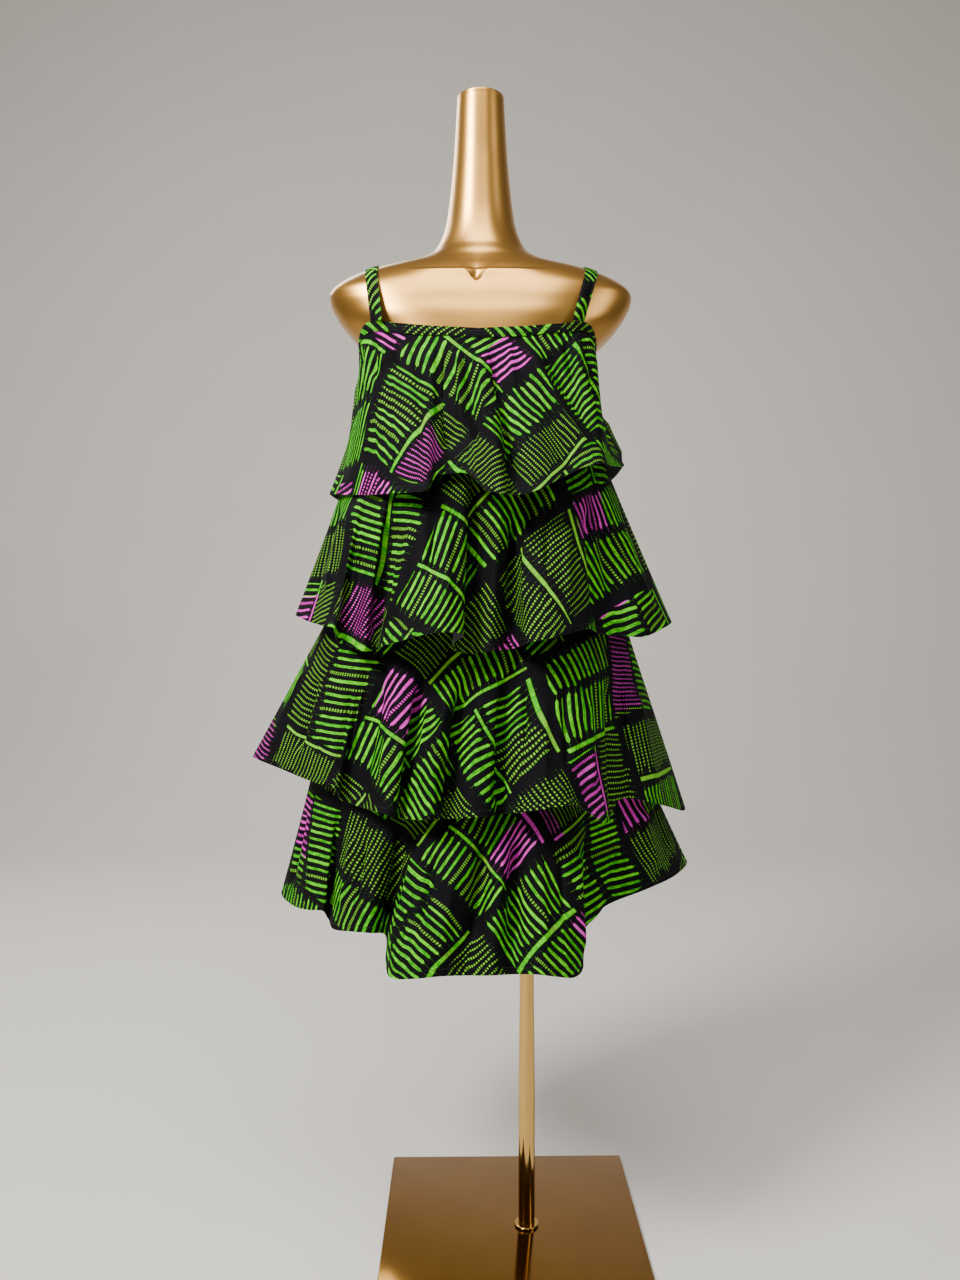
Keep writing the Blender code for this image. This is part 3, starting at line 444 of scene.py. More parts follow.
# Print. A pair gives how far a random value spreads and where it starts; shares are of a
# square, of a patch or of the lane of one stroke
PRINT_TURN = 45.0           # the drawing lies across the cloth at this angle
BEND_SCALE = 3.6            # noise that bends the drawing
BEND_REACH = 0.060
HAND_REACH = 0.026          # how unsteady the hand is
SPLIT = (0.24, 0.38)        # where a square is split into two patches
SLANT = (0.26, -0.13)       # how its strokes lean, in radians
LANE_SPREAD = 2.4           # how many more strokes one patch has than another, at most
DOTTED_LANES = 0.4          # share of lanes that a patch of ladders has more
STROKE_START = (0.10, 0.02)
STROKE_END = (-0.12, 0.98)
STROKE_WIDTH = (0.075, 0.130)
STROKE_ROUGH = 0.08         # how much the grain adds to a stroke's half width
DOTTED_WIDTH = -0.15        # how much wider a patch of ladders has them, as a share
LEAST_WIDTH = 0.01
BORDER_START = (0.09, 0.02)
BORDER_END = (-0.10, 0.98)
DOTTED_PATCHES = 0.27       # share of patches that are all thin ladders
DOTTED_STROKES = 0.16       # share of the other patches' strokes that are ladders
CLOSED_PATCHES = 0.50       # patches over this chance are closed off by a stroke
CLOSING_PLACE = 0.945       # where the closing stroke lies, and its half width
CLOSING_WIDTH = 0.036
CLOSING_ROOM = -0.08        # the other strokes of its patch end that much sooner
PINK_PATCHES = 0.095        # share of half patches that are pink
HALF_PATCHES = 1.9          # parts of a patch that can each be pink
SECOND_STROKES = 40.0       # sets the second patch's strokes apart from the first one's
SECOND_HALVES = 7.0
STREAK_STRETCH = 3.0        # streaks run on along a stroke
STREAK_ROLL = 0.22          # how much lighter one stroke is than another
LADDER_TINT = 0.55
DRY_BRUSHES = 0.5           # strokes over this chance were made with a split brush
DRY_TINT = 0.75
GHOST = 0.22                # how much of the print comes through to the reverse
TICK_PITCH = 0.0036         # real ticks are about 1.5 mm apart, drawn wider so that they show
THREAD_PITCH = 0.0012       # real threads are 0.3 mm apart, drawn wider so that they show

# Where things come in, from none to full
STROKE_TIP = (-0.012, 0.04)
STROKE_EDGE = (1.12, 0.9)
SOAKED_EDGE = (0.62, 1.02)
PATCH_BORDER = (0.0, 0.010)
TICK = (0.32, 0.24)
MISSES = (0.66, 0.59)
LIGHT_STREAKS = (0.46, 0.80)
DRY_BREAKS = (0.44, 0.52)
DRY_LINE = (0.075, 0.03)
REVERSE_SIDE = (0.45, 0.55)

# Noises of the cloth: scale, detail, roughness
HAND_NOISE = (24.0, 2.0)
GRAIN_NOISE = (320.0, 2.0)
MISS_NOISE = (520.0, 3.0, 0.7)
STREAK_NOISE = (3.2, 3.0)
DYE_NOISE = (26.0, 3.0)
RUMPLE_NOISE = (34.0, 3.0, 0.55)

# Second colours of the materials, mixed into those that can be set
LIGHT_PINK = "#ee52d2"
DARK_PINK = "#8f2b80"
FADED_GROUND = "#0b0a10"
# lighter flecks on the thread: painted sheen
THREAD_PAINTED_SHEEN = "#303036"
DEEP_GOLD = "#d39a48"
WORN_BRASS = "#c09850"
# the plate's worn mottle, also darker than the pole's as painted shade, a painted dark
# reflection
WORN_PLATE_IN_PAINTED_SHADE = "#7a5520"
FLOOR_SHADE = "#c9c6c0"
STUDIO_AIR = "#cfc9c0"

# Names of the materials
COTTON = "Printed plain-weave cotton"
THREAD = "Spun polyester thread"
GOLD = "Satin gold lacquer on glass fibre"
BRASS = "Polished brass plating"
# the plate's brass is the pole's made darker all over as painted shade, a painted dark
# reflection
PLATE_BRASS_IN_PAINTED_SHADE = "Antique brass plating"

# Stage
FLOOR_HALF = 6.0
FLOOR_FRONT = 6.0
FLOOR_BACK = 2.2            # where the floor starts to bend up
BEND_RADIUS = 0.9
BEND_STEPS = 12
WALL_TOP = 4.5
AIR_STRENGTH = 0.17
CAMERA_PLACE = (-0.063, -1.354, 0.836)
CAMERA_TILT = 88.91
CAMERA_TURN = -0.8
SENSOR_WIDTH = 36.0
CLIP_START = 0.02

# Lights: name, place, aim, size, whose power, share of that power, colour
LIGHTS = [
    ("key_light", (-1.7, -1.5, 2.7), (-0.04, 0.0, 1.0), (0.8, 0.8),
     "key_power", 1.0, (1.0, 0.97, 0.93)),
    ("top_light", (-0.1, -1.3, 3.1), (-0.04, 0.0, 1.1), (1.7, 0.9),
     "key_power", 0.36, (1.0, 0.98, 0.95)),
    ("fill_light", (2.2, -1.3, 2.0), (-0.04, 0.0, 1.0), (0.9, 1.6),
     "fill_power", 1.0, (0.97, 0.98, 1.0)),
    ("back_light", (-1.2, 1.9, 2.6), (-0.04, 0.0, 1.1), (1.6, 1.0),
     "fill_power", 2.4, (1.0, 0.98, 0.95)),
]


def linear_colour(text):
    """Linear RGBA from an sRGB hex colour such as "#1c1b22"."""
    values = [int(text[k:k + 2], 16) / 255.0 for k in (1, 3, 5)]
    return tuple(v / 12.92 if v <= 0.04045 else ((v + 0.055) / 1.055) ** 2.4
                 for v in values) + (1.0,)


def colour_property(name, description, text):
    """A colour that the user can change, given as sRGB hex."""
    return FloatVectorProperty(name=name, description=description, subtype="COLOR",
                               size=4, min=0.0, max=1.0, default=linear_colour(text))


class PrintedClothProperties(bpy.types.PropertyGroup):
    """The printed cotton of the dress."""

    ground: colour_property("Ground", "Dyed ground of the print", "#040306")
    green: colour_property("Green", "Main colour of the brushed strokes", "#2cab00")
    light_green: colour_property("Light Green", "Lightest part of a stroke", "#6fea00")
    dark_green: colour_property("Dark Green", "Soaked edge of a stroke", "#0b5c02")
    ladder_green: colour_property("Ladder Green", "Thin ladders of short ticks", "#93c83a")
    pink: colour_property("Pink", "Colour of the rarer patches", "#e01cc0")
    reverse: colour_property("Reverse", "Unprinted side of the cloth", "#58575c")
    thread: colour_property("Thread", "Sewing thread", "#1a1a1e")
    square: FloatProperty(name="Square", description="Square of two patches in the print",
                          default=0.138, min=0.02, max=0.5, unit="LENGTH")
    stroke_pitch: FloatProperty(name="Stroke Pitch", description="One stroke to the next",
                                default=0.0094, min=0.004, max=0.05, unit="LENGTH")
    stitch_spacing: FloatProperty(name="Stitch Spacing", description="Start to start",
                                  default=0.0034, min=0.001, max=0.01, unit="LENGTH")
    stitch_length: FloatProperty(name="Stitch Length", description="Thread that shows",
                                 default=0.0024, min=0.0005, max=0.01, unit="LENGTH")
    thread_radius: FloatProperty(name="Thread Radius", description="Half the thread",
                                 default=0.00022, min=0.0001, max=0.001, unit="LENGTH")


class StandProperties(bpy.types.PropertyGroup):
    """The form and its stand."""

    gold: colour_property("Form Gold", "Satin lacquer of the form", "#e0aa58")
    brass: colour_property("Brass", "Polished plating of the pole", "#d0a866")
    # the plate's colour is darker than the pole's brass as painted shade, a painted dark
    # reflection
    plate_brass_in_painted_shade: colour_property("Plate Brass", "Plating of the plate, darker as painted shade", "#8a6428")
    form_roughness: FloatProperty(name="Form Roughness", description="Satin of the lacquer",
                                  default=0.30, min=0.0, max=1.0, subtype="FACTOR")
    brass_roughness: FloatProperty(name="Brass Roughness", description="Polish of the brass",
                                   default=0.09, min=0.0, max=1.0, subtype="FACTOR")


class StageProperties(bpy.types.PropertyGroup):
    """Floor, light and camera."""

    floor: colour_property("Floor", "Plain pale floor", "#eeebe5")
    key_power: FloatProperty(name="Key Light", description="Power of the large front light",
                             default=118.0, min=0.0, max=500.0, unit="POWER")
    fill_power: FloatProperty(name="Fill Light", description="Power of the side light",
                              default=14.0, min=0.0, max=500.0, unit="POWER")
    lens: FloatProperty(name="Lens", description="Focal length in millimetres",
                        default=28.0, min=10.0, max=200.0)


def read_table(rows, places):
    """Rows of a section table at many places, read along a smooth curve."""
    table = np.array(rows, dtype=float)
    if table[0, 0] > table[-1, 0]:
        table = table[::-1]
    levels = table[:, 0]
    last = len(levels) - 1
    places = np.asarray(places, dtype=float)
    at = np.clip(places.ravel(), levels[0], levels[-1])
    i = np.clip(np.searchsorted(levels, at) - 1, 0, last - 1)
    span = (levels[i + 1] - levels[i])[:, None]
    t = (at - levels[i])[:, None] / span
    start = table[np.maximum(i - 1, 0)]
    end = table[np.minimum(i + 2, last)]
    slope_in = (table[i + 1] - start) / (levels[i + 1][:, None] - start[:, :1]) * span
    slope_out = (end - table[i]) / (end[:, :1] - levels[i][:, None]) * span
    result = (table[i] * (2 * t**3 - 3 * t**2 + 1) + slope_in * (t**3 - 2 * t**2 + t)
              + table[i + 1] * (3 * t**2 - 2 * t**3) + slope_out * (t**3 - t**2))
    return result.reshape(places.shape + (table.shape[1],))


def foundation_reach(turn, height):
    """Distance of the foundation's outer face from the dress's axis."""
    section = read_table(FOUNDATION_SECTIONS, height / MM)
    depth = np.where(np.cos(turn) > 0.0, section[..., 2], section[..., 3])
    total = (np.abs(np.sin(turn)) / section[..., 1]) ** SECTION_POWER
    total += (np.abs(np.cos(turn)) / depth) ** SECTION_POWER
    return MM * total ** (-1.0 / SECTION_POWER)


def top_edge(turn):
    """Height of the dress's top edge at turns from the front."""
    degrees = np.abs(np.degrees((turn + math.pi) % (2.0 * math.pi) - math.pi))
    return MM * read_table(TOP_EDGE, degrees)[..., 1]


def spots(turn, reach, height):
    """Points from turns round the dress's axis, reaches and heights."""
    return np.stack([DRESS_X + reach * np.sin(turn), -reach * np.cos(turn), height], axis=-1)


def soft_min(a, b, blend):
    """The smaller of two lengths, rounded where they cross."""
    return np.minimum(a, b) - blend * np.log1p(np.exp(-np.abs(a - b) / blend))


def soft_max(a, b, blend):
    """The larger of two lengths, rounded where they cross."""
    return -soft_min(-a, -b, blend)


def smooth_step(x):
    """0 below 0, 1 above 1 and a smooth rise between."""
    x = np.clip(x, 0.0, 1.0)
    return x * x * (3.0 - 2.0 * x)


def closed_curve(rows, steps):
    """Smooth closed curve through the rows of a hem table."""
    table = np.array(rows, dtype=float)
    turn_round = np.array((0.0, 0.0, 0.0, 2.0))
    ring = np.concatenate([table[-1:] - turn_round, table, table[:2] + turn_round])
    t = (np.arange(steps) / steps)[None, :, None]
    before, start, end, after = (ring[k:k + len(table), None, :] for k in range(4))
    curve = 0.5 * (2 * start + (end - before) * t
                   + (2 * before - 5 * start + 4 * end - after) * t**2
                   + (3 * start - before - 3 * end + after) * t**3)
    return curve.reshape(-1, 4)


def eased_round(values, steps):
    """Values round a closed curve, smoothed over two and a half folds to each side."""
    kernel = np.hanning(5 * steps + 1)[1:-1]
    kernel /= kernel.sum()
    half = len(kernel) // 2
    return np.convolve(np.concatenate([values[-half:], values, values[:half]]), kernel, "valid")


def wall_normals(grid):
    """Outward unit normals of a surface that closes on itself sideways."""
    side = np.roll(grid, -1, axis=1) - np.roll(grid, 1, axis=1)
    normal = np.cross(np.gradient(grid, axis=0), side)
    return normal / np.maximum(np.linalg.norm(normal, axis=2, keepdims=True), 1e-9)


def tube_faces(rows, columns, ring=False, shut=False):
    """Faces between the rows of a surface that closes on itself sideways.

    A ring's last row meets its first one; a shut tube has a flat face at each end.
    """
    corner = np.arange(rows * columns).reshape(rows, columns)
    if ring:
        corner = np.concatenate([corner, corner[:1]])
    right = np.roll(corner, -1, axis=1)
    faces = np.stack([corner[:-1], right[:-1], right[1:], corner[1:]], axis=-1)
    ends = [corner[0].tolist(), corner[-1].tolist()] if shut else []
    return faces.reshape(-1, 4).tolist() + ends


def room_lattice(inner, top, bottom):
    """Least room under a flounce for each turn and height, from the top downwards."""
    tree = BVHTree.FromPolygons(inner.reshape(-1, 3).tolist(), tube_faces(*inner.shape[:2]))
    heights = np.arange(top, bottom, -LATTICE_STEP)
    turns = np.arange(LATTICE_TURNS) * 2.0 * math.pi / LATTICE_TURNS
    room = np.full((len(heights), LATTICE_TURNS), 1.0)
    for i, height in enumerate(heights):
        for j, turn in enumerate(turns):
            way = (math.sin(turn), -math.cos(turn), 0.0)
            reach = tree.ray_cast((DRESS_X, 0.0, height), way, LATTICE_REACH)[3]
            if reach is not None:
                room[i, j] = reach - ROOM_GAP
            elif i > 0:
                room[i, j] = room[i - 1, j] + ROOM_SLOPE * LATTICE_STEP
    around = range(-LATTICE_SPREAD, LATTICE_SPREAD + 1)
    least = np.min([np.roll(room, k, axis=1) for k in around], axis=0)
    weight = LATTICE_SPREAD + 1.0
    eased = sum((weight - abs(k)) * np.roll(least, k, axis=1) for k in around) / weight**2
    return heights, eased


def room_at(lattice, turn, height):
    """Room under the flounce above at many places, read between the lattice's cells."""
    heights, room = lattice
    i = np.clip((heights[0] - height) / LATTICE_STEP, 0.0, len(heights) - 1.001)
    j = (turn / (2.0 * math.pi) * LATTICE_TURNS) % LATTICE_TURNS
    i0 = i.astype(int)
    j0 = j.astype(int) % LATTICE_TURNS
    j1 = (j0 + 1) % LATTICE_TURNS
    fi = i - i0
    fj = j - np.floor(j)
    upper = room[i0, j0] * (1.0 - fj) + room[i0, j1] * fj
    lower = room[i0 + 1, j0] * (1.0 - fj) + room[i0 + 1, j1] * fj
    return upper * (1.0 - fi) + lower * fi


def share_rows(length):
    """Shares of the way down for the mesh rows, closer together at the turned hem."""
    hem = 1.0 - HEM_DEPTH / length
    body = np.linspace(0.0, hem, CLOTH_ROWS)
    return np.concatenate([body, hem + (1.0 - hem) * np.array(HEM_SHARES)])


def crease_relief(creases, roots, shares, across):
    """Push in or out along the normal for every point, from a crease table."""
    relief = np.zeros((len(shares), len(roots)))
    for root, start, end, drift, width, depth in creases:
        along = (shares - start) / (end - start)
        fade = smooth_step(along / CREASE_ENDS) * smooth_step((1.0 - along) / CREASE_ENDS)
        centre = root + drift * np.clip(along, 0.0, 1.0)
        away = (roots[None, :] - centre[:, None] + 1.0) % 2.0 - 1.0
        reach = np.abs(away) * across[:, None] / (width * MM)
        depth *= TROUGH_GAIN if depth < 0.0 else RIDGE_GAIN
        relief += depth * MM * fade[:, None] * np.exp(-reach**CREASE_POWER)
    return relief


def gather_relief(roots, shares, across, length):
    """Small uneven puckers that start under the band and fade out below it."""
    chance = np.random.RandomState(GATHER_SEED)
    relief = np.zeros((len(shares), len(roots)))
    shifts = chance.uniform(-GATHER_SHIFT, GATHER_SHIFT, GATHER_COUNT)
    places = np.arange(GATHER_COUNT) + shifts
    for place in places * 2.0 / GATHER_COUNT:
        width = chance.uniform(*GATHER_WIDTH)
        reach_down = chance.uniform(*GATHER_LENGTH) / length
        depth = chance.uniform(*GATHER_DEPTH) * (1.0 if chance.rand() < 0.5 else -1.0)
        down = (shares - BAND_SHARE) / reach_down
        fade = smooth_step(down / GATHER_START) * smooth_step(1.0 - down)
        away = (roots[None, :] - place + 1.0) % 2.0 - 1.0
        relief += depth * fade[:, None] * np.exp(-(away * across[:, None] / width) ** 2)
    return relief


def hang_flounce(flounce, lattice, next_seam):
    """Outer face of a whole flounce, seam to hem, once round, and the shares of its rows."""
    seam_height, flare, opening, rows, creases = flounce
    hem = closed_curve(rows, FOLD_COLUMNS)
    roots = hem[:, 3]
    turns = math.pi * (roots - 0.5)
    edge = hem[:, :3] * MM
    bell = np.stack([eased_round(edge[:, k], FOLD_COLUMNS) for k in range(3)], axis=1)
    if seam_height is None:
        top = top_edge(turns) - TOP_DROP
        room = LAYER + EDGE_ROOM
    else:
        top = np.full(len(turns), seam_height * MM)
        room = LAYER
    seam = spots(turns, foundation_reach(turns, top) + room, top)
    length = float(np.mean(np.linalg.norm(edge - seam, axis=1)))
    shares = share_rows(length)
    v = shares[:, None]
    flared = np.stack([v**flare, v**flare, v], axis=2)
    grid = seam + (bell - seam) * flared + ((edge - bell) * v[:, :, None]**opening)
    steps = np.linalg.norm(np.roll(grid, -1, axis=1) - grid, axis=2)
    across = steps.sum(axis=1) / 2.0
    relief = crease_relief(creases, roots, shares, across)
    if lattice is None:
        relief += gather_relief(roots, shares, across, length)
        rise = smooth_step((shares - BAND_SHARE) / (PUFF_FULL - BAND_SHARE))
        fall = 1.0 - smooth_step((shares - PUFF_FULL) / (1.0 - PUFF_FULL))
        relief += PUFF * (rise * fall)[:, None] * np.abs(np.cos(turns))[None, :]
    grid += relief[:, :, None] * wall_normals(grid)
    x = grid[..., 0] - DRESS_X
    turn = np.arctan2(x, -grid[..., 1])
    reach = np.hypot(x, grid[..., 1])
    height = grid[..., 2]
    if lattice is not None:
        kept = soft_min(reach, room_at(lattice, turn, height), ROOM_BLEND)
        reach = np.where(v > 0.0, kept, reach)
    near = np.clip((next_seam + MAKING_ROOM - height) / MAKING_ROOM, 0.0, 1.0)
    least = foundation_reach(turn, height) + LAYER + ROOM_FOR_NEXT * near
    clear = soft_max(reach, least + FACET_ROOM, REACH_BLEND)
    reach = np.where(v > 0.0, clear, reach)
    return spots(turn, reach, height), shares


def half_columns(grid, start, end):
    """Columns of a closed surface from start to end, both kept."""
    picked = np.arange(start, end + 1) % grid.shape[1]
    return grid[:, picked].copy()


def fan_cut(outer):
    """The flat cut of a flared half: places on it for every point, and its area.

    The cut is a fan, so that seam and hem both keep their real length. Each row's points
    keep their real distances too, eased over the rows beside it so that the print runs on.
    """
    down = np.linalg.norm(np.diff(outer, axis=0), axis=2)
    fall = np.concatenate([np.zeros((1, outer.shape[1])), np.cumsum(down, axis=0)])
    side = np.linalg.norm(np.diff(outer, axis=1), axis=2)
    seam_length = side[0].sum()
    hem_length = side[-1].sum()
    length = float(fall[-1].mean())
    start = length * seam_length / max(hem_length - seam_length, LEAST_FLARE)
    radius = start + 0.5 * (fall[:, 1:] + fall[:, :-1])
    turn = side / radius
    area = float(0.5 * np.sum(turn.mean(axis=0) * (radius[-1]**2 - start**2)))
    rows = len(turn)
    reach = rows // CUT_EASE
    padded = np.pad(turn, ((reach, reach), (0, 0)), mode="edge")
    eased = sum(padded[step:step + rows] for step in range(2 * reach + 1))
    eased *= turn.mean(axis=0).sum() / eased.sum(axis=1, keepdims=True)
    angle = np.concatenate([np.zeros((rows, 1)), np.cumsum(eased, axis=1)], axis=1)
    angle -= 0.5 * angle[:, -1:]
    flat = np.stack([(start + fall) * np.sin(angle), start - (start + fall) * np.cos(angle)],
                    axis=-1)
    return flat, area


def strip_cut(outer):
    """The flat cut of a piece that is a plain strip, and its area."""
    side = np.linalg.norm(np.diff(outer, axis=1), axis=2).mean(axis=0)
    down = np.linalg.norm(np.diff(outer, axis=0), axis=2).mean(axis=1)
    x = np.concatenate([[0.0], np.cumsum(side)])
    y = -np.concatenate([[0.0], np.cumsum(down)])
    flat = np.stack(np.meshgrid(x, y), axis=-1)
    return flat, float(x[-1] * -y[-1])


def placed_cut(name, flat):
    """A flat cut laid on the printed cloth at the piece's own angle and place."""
    angle, across, along = CUTS[name]
    c, s = math.cos(math.radians(angle)), math.sin(math.radians(angle))
    x = flat[..., 0] * c - flat[..., 1] * s + across
    y = flat[..., 0] * s + flat[..., 1] * c + along
    return np.stack([x, y], axis=-1)


def wall_faces(rows, columns):
    """Faces of a closed wall between an outer grid and an inner grid after it."""
    corner = np.arange(rows * columns).reshape(rows, columns)
    a, b, c, d = corner[:-1, :-1], corner[:-1, 1:], corner[1:, 1:], corner[1:, :-1]
    back = rows * columns
    faces = [np.stack([a, d, c, b], axis=-1).reshape(-1, 4),
             np.stack([a, b, c, d], axis=-1).reshape(-1, 4) + back]
    for line, flip in ((corner[0], True), (corner[-1], False),
                       (corner[:, 0], False), (corner[:, -1], True)):
        strip = np.stack([line[:-1], line[1:], line[1:] + back, line[:-1] + back], axis=-1)
        faces.append(strip[:, ::-1] if flip else strip)
    return np.concatenate(faces)


def new_object(name, data):
    """An object in the scene."""
    item = bpy.data.objects.new(name, data)
    bpy.context.scene.collection.objects.link(item)
    return item


def link_piece(name, mesh, material, slot, *nodes):
    """Put a finished mesh in the scene as a piece of the part, with a shared material."""
    mesh.materials.clear()
    mesh.materials.append(shared_material(material))
    piece = new_object(name, mesh)
    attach(piece, "root")
    if nodes:
        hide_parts(*nodes)
    return piece


def face_outwards(mesh, sharp_angle):
    """Turn a mesh's faces outwards, shade it smoothly and keep its corners sharp."""
    shape = bmesh.new()
    shape.from_mesh(mesh)
    bmesh.ops.recalc_face_normals(shape, faces=shape.faces)
    shape.to_mesh(mesh)
    shape.free()
    mesh.shade_smooth()
    mesh.set_sharp_from_angle(angle=math.radians(sharp_angle))


def cloth_piece(node, outer, inner, flat):
    """A cloth wall with its cut as UV map and a mark on its reverse side."""
    for sheet in (outer, inner):
        for edge, beside in ((0, 1), (-1, -2)):
            way = sheet[:, beside] - sheet[:, edge]
            way /= np.linalg.norm(way, axis=1, keepdims=True)
            sheet[:, edge] += way * SEAM_HALF_GAP
    rows, columns, _ = outer.shape
    count = rows * columns
    points = np.concatenate([outer.reshape(-1, 3), inner.reshape(-1, 3)])
    mesh = bpy.data.meshes.new(node + "_cloth")
    mesh.from_pydata(points.tolist(), [], wall_faces(rows, columns).tolist())
    corners = np.zeros(len(mesh.loops), dtype=np.int32)
    mesh.loops.foreach_get("vertex_index", corners)
    places = placed_cut(node, flat).reshape(-1, 2)[corners % count]
    mesh.uv_layers.new(name="cut").uv.foreach_set("vector", places.astype(np.float32).ravel())
    reverse = mesh.attributes.new("reverse", "FLOAT", "POINT")
    reverse.data.foreach_set("value", np.repeat((0.0, 1.0), count).astype(np.float32))
    face_outwards(mesh, CLOTH_SHARP)
    return link_piece(node + "_cloth", mesh, COTTON, "printed_cotton", node)


def flat_size(flat):
    """Width and length of the smallest upright rectangle round a flat cut."""
    return (float(np.ptp(flat[..., 0])), float(np.ptp(flat[..., 1])))


def give(tree, node, inputs):
    """Give a node's inputs their values or links."""
    for key, value in inputs.items():
        if isinstance(value, bpy.types.NodeSocket):
            tree.links.new(value, node.inputs[key])
        else:
            node.inputs[key].default_value = value


def add_node(tree, kind, inputs=None, **settings):
    """Add a node, set it up and give its inputs values or links."""
    node = tree.nodes.new(kind)
    for name, value in settings.items():
        setattr(node, name, value)
    give(tree, node, inputs or {})
    return node


def new_material(name):
    """A material with its shader and output in an empty tree."""
    material = bpy.data.materials.new(name)
    material.use_nodes = True
    tree = material.node_tree
    tree.nodes.clear()
    shader = add_node(tree, "ShaderNodeBsdfPrincipled")
    add_node(tree, "ShaderNodeOutputMaterial", {"Surface": shader.outputs["BSDF"]})
    return material, tree, shader


def calculate(tree, operation, a, b=0.0, c=0.0):
    """Result of one calculation on values or sockets."""
    return add_node(tree, "ShaderNodeMath", {0: a, 1: b, 2: c}, operation=operation).outputs[0]


def eased_between(tree, value, low, high):
    """0 to 1 as a value goes smoothly from low to high; low may be the larger."""
    inputs = {"Value": value, "From Min": low, "From Max": high}
    return add_node(tree, "ShaderNodeMapRange", inputs,
                    interpolation_type="SMOOTHSTEP").outputs[0]


def blended(tree, share, first, second):
    """Mix of two colours by a share."""
    inputs = {0: share, 6: first, 7: second}
    return add_node(tree, "ShaderNodeMix", inputs, data_type="RGBA").outputs[2]


def noise(tree, place, scale, detail=2.0, roughness=0.5):
    """Value of a noise texture at a place."""
    inputs = {"Vector": place, "Scale": scale, "Detail": detail, "Roughness": roughness}
    return add_node(tree, "ShaderNodeTexNoise", inputs).outputs[0]


def vector(tree, x, y, z=0.0):
    """A vector from three values or sockets."""
    return add_node(tree, "ShaderNodeCombineXYZ", {0: x, 1: y, 2: z}).outputs[0]


def parts(tree, place):
    """The three parts of a vector."""
    return tuple(add_node(tree, "ShaderNodeSeparateXYZ", {0: place}).outputs)


def chances(tree, key, dimensions="3D"):
    """Random values, the same wherever the key is the same: one, and three more."""
    node = add_node(tree, "ShaderNodeTexWhiteNoise", {"Vector": key},
                    noise_dimensions=dimensions)
    return node.outputs["Value"], parts(tree, node.outputs["Color"])


def drawn_squares(tree, place, size):
    """The print's squares: number across and along, random values and place inside one.

    The cloth's drawing is uneven, so the squares are bent and of different sizes.
    """
    add, calc, split_up = (partial(helper, tree) for helper in (add_node, calculate, parts))
    drift = add("ShaderNodeTexNoise", {"Vector": place, "Scale": BEND_SCALE, "Detail": 1.0})
    offset = add("ShaderNodeVectorMath", {0: drift.outputs["Color"], 1: (0.5, 0.5, 0.5)},
                 operation="SUBTRACT")
    bent = add("ShaderNodeVectorMath",
               {0: offset.outputs[0], 1: (BEND_REACH, BEND_REACH, 0.0), 2: place},
               operation="MULTIPLY_ADD")
    turned = add("ShaderNodeVectorRotate",
                 {"Vector": bent.outputs[0], "Angle": math.radians(PRINT_TURN)},
                 rotation_type="Z_AXIS")
    in_squares = add("ShaderNodeVectorMath", {0: turned.outputs[0], "Scale": 1.0 / size},
                     operation="SCALE")
    square = add("ShaderNodeVectorMath", {0: in_squares.outputs[0]}, operation="FLOOR")
    inside = add("ShaderNodeVectorMath", {0: in_squares.outputs[0]}, operation="FRACTION")
    square_x, square_y, _ = split_up(square.outputs[0])
    inside_x, inside_y, _ = split_up(inside.outputs[0])
    square_rolls = chances(tree, square.outputs[0], "2D")[1]
    # every other square has its two patches the other way, as in a basket weave
    count = calc("ADD", square_x, square_y)
    odd = calc("MULTIPLY", calc("FRACT", calc("MULTIPLY", count, 0.5)), 2.0)
    chosen = add("ShaderNodeMix",
                 {0: odd, 4: inside.outputs[0], 5: vector(tree, inside_y, inside_x)},
                 data_type="VECTOR")
    chosen_x, chosen_y, _ = split_up(chosen.outputs[1])
    return square_x, square_y, square_rolls, chosen_x, chosen_y


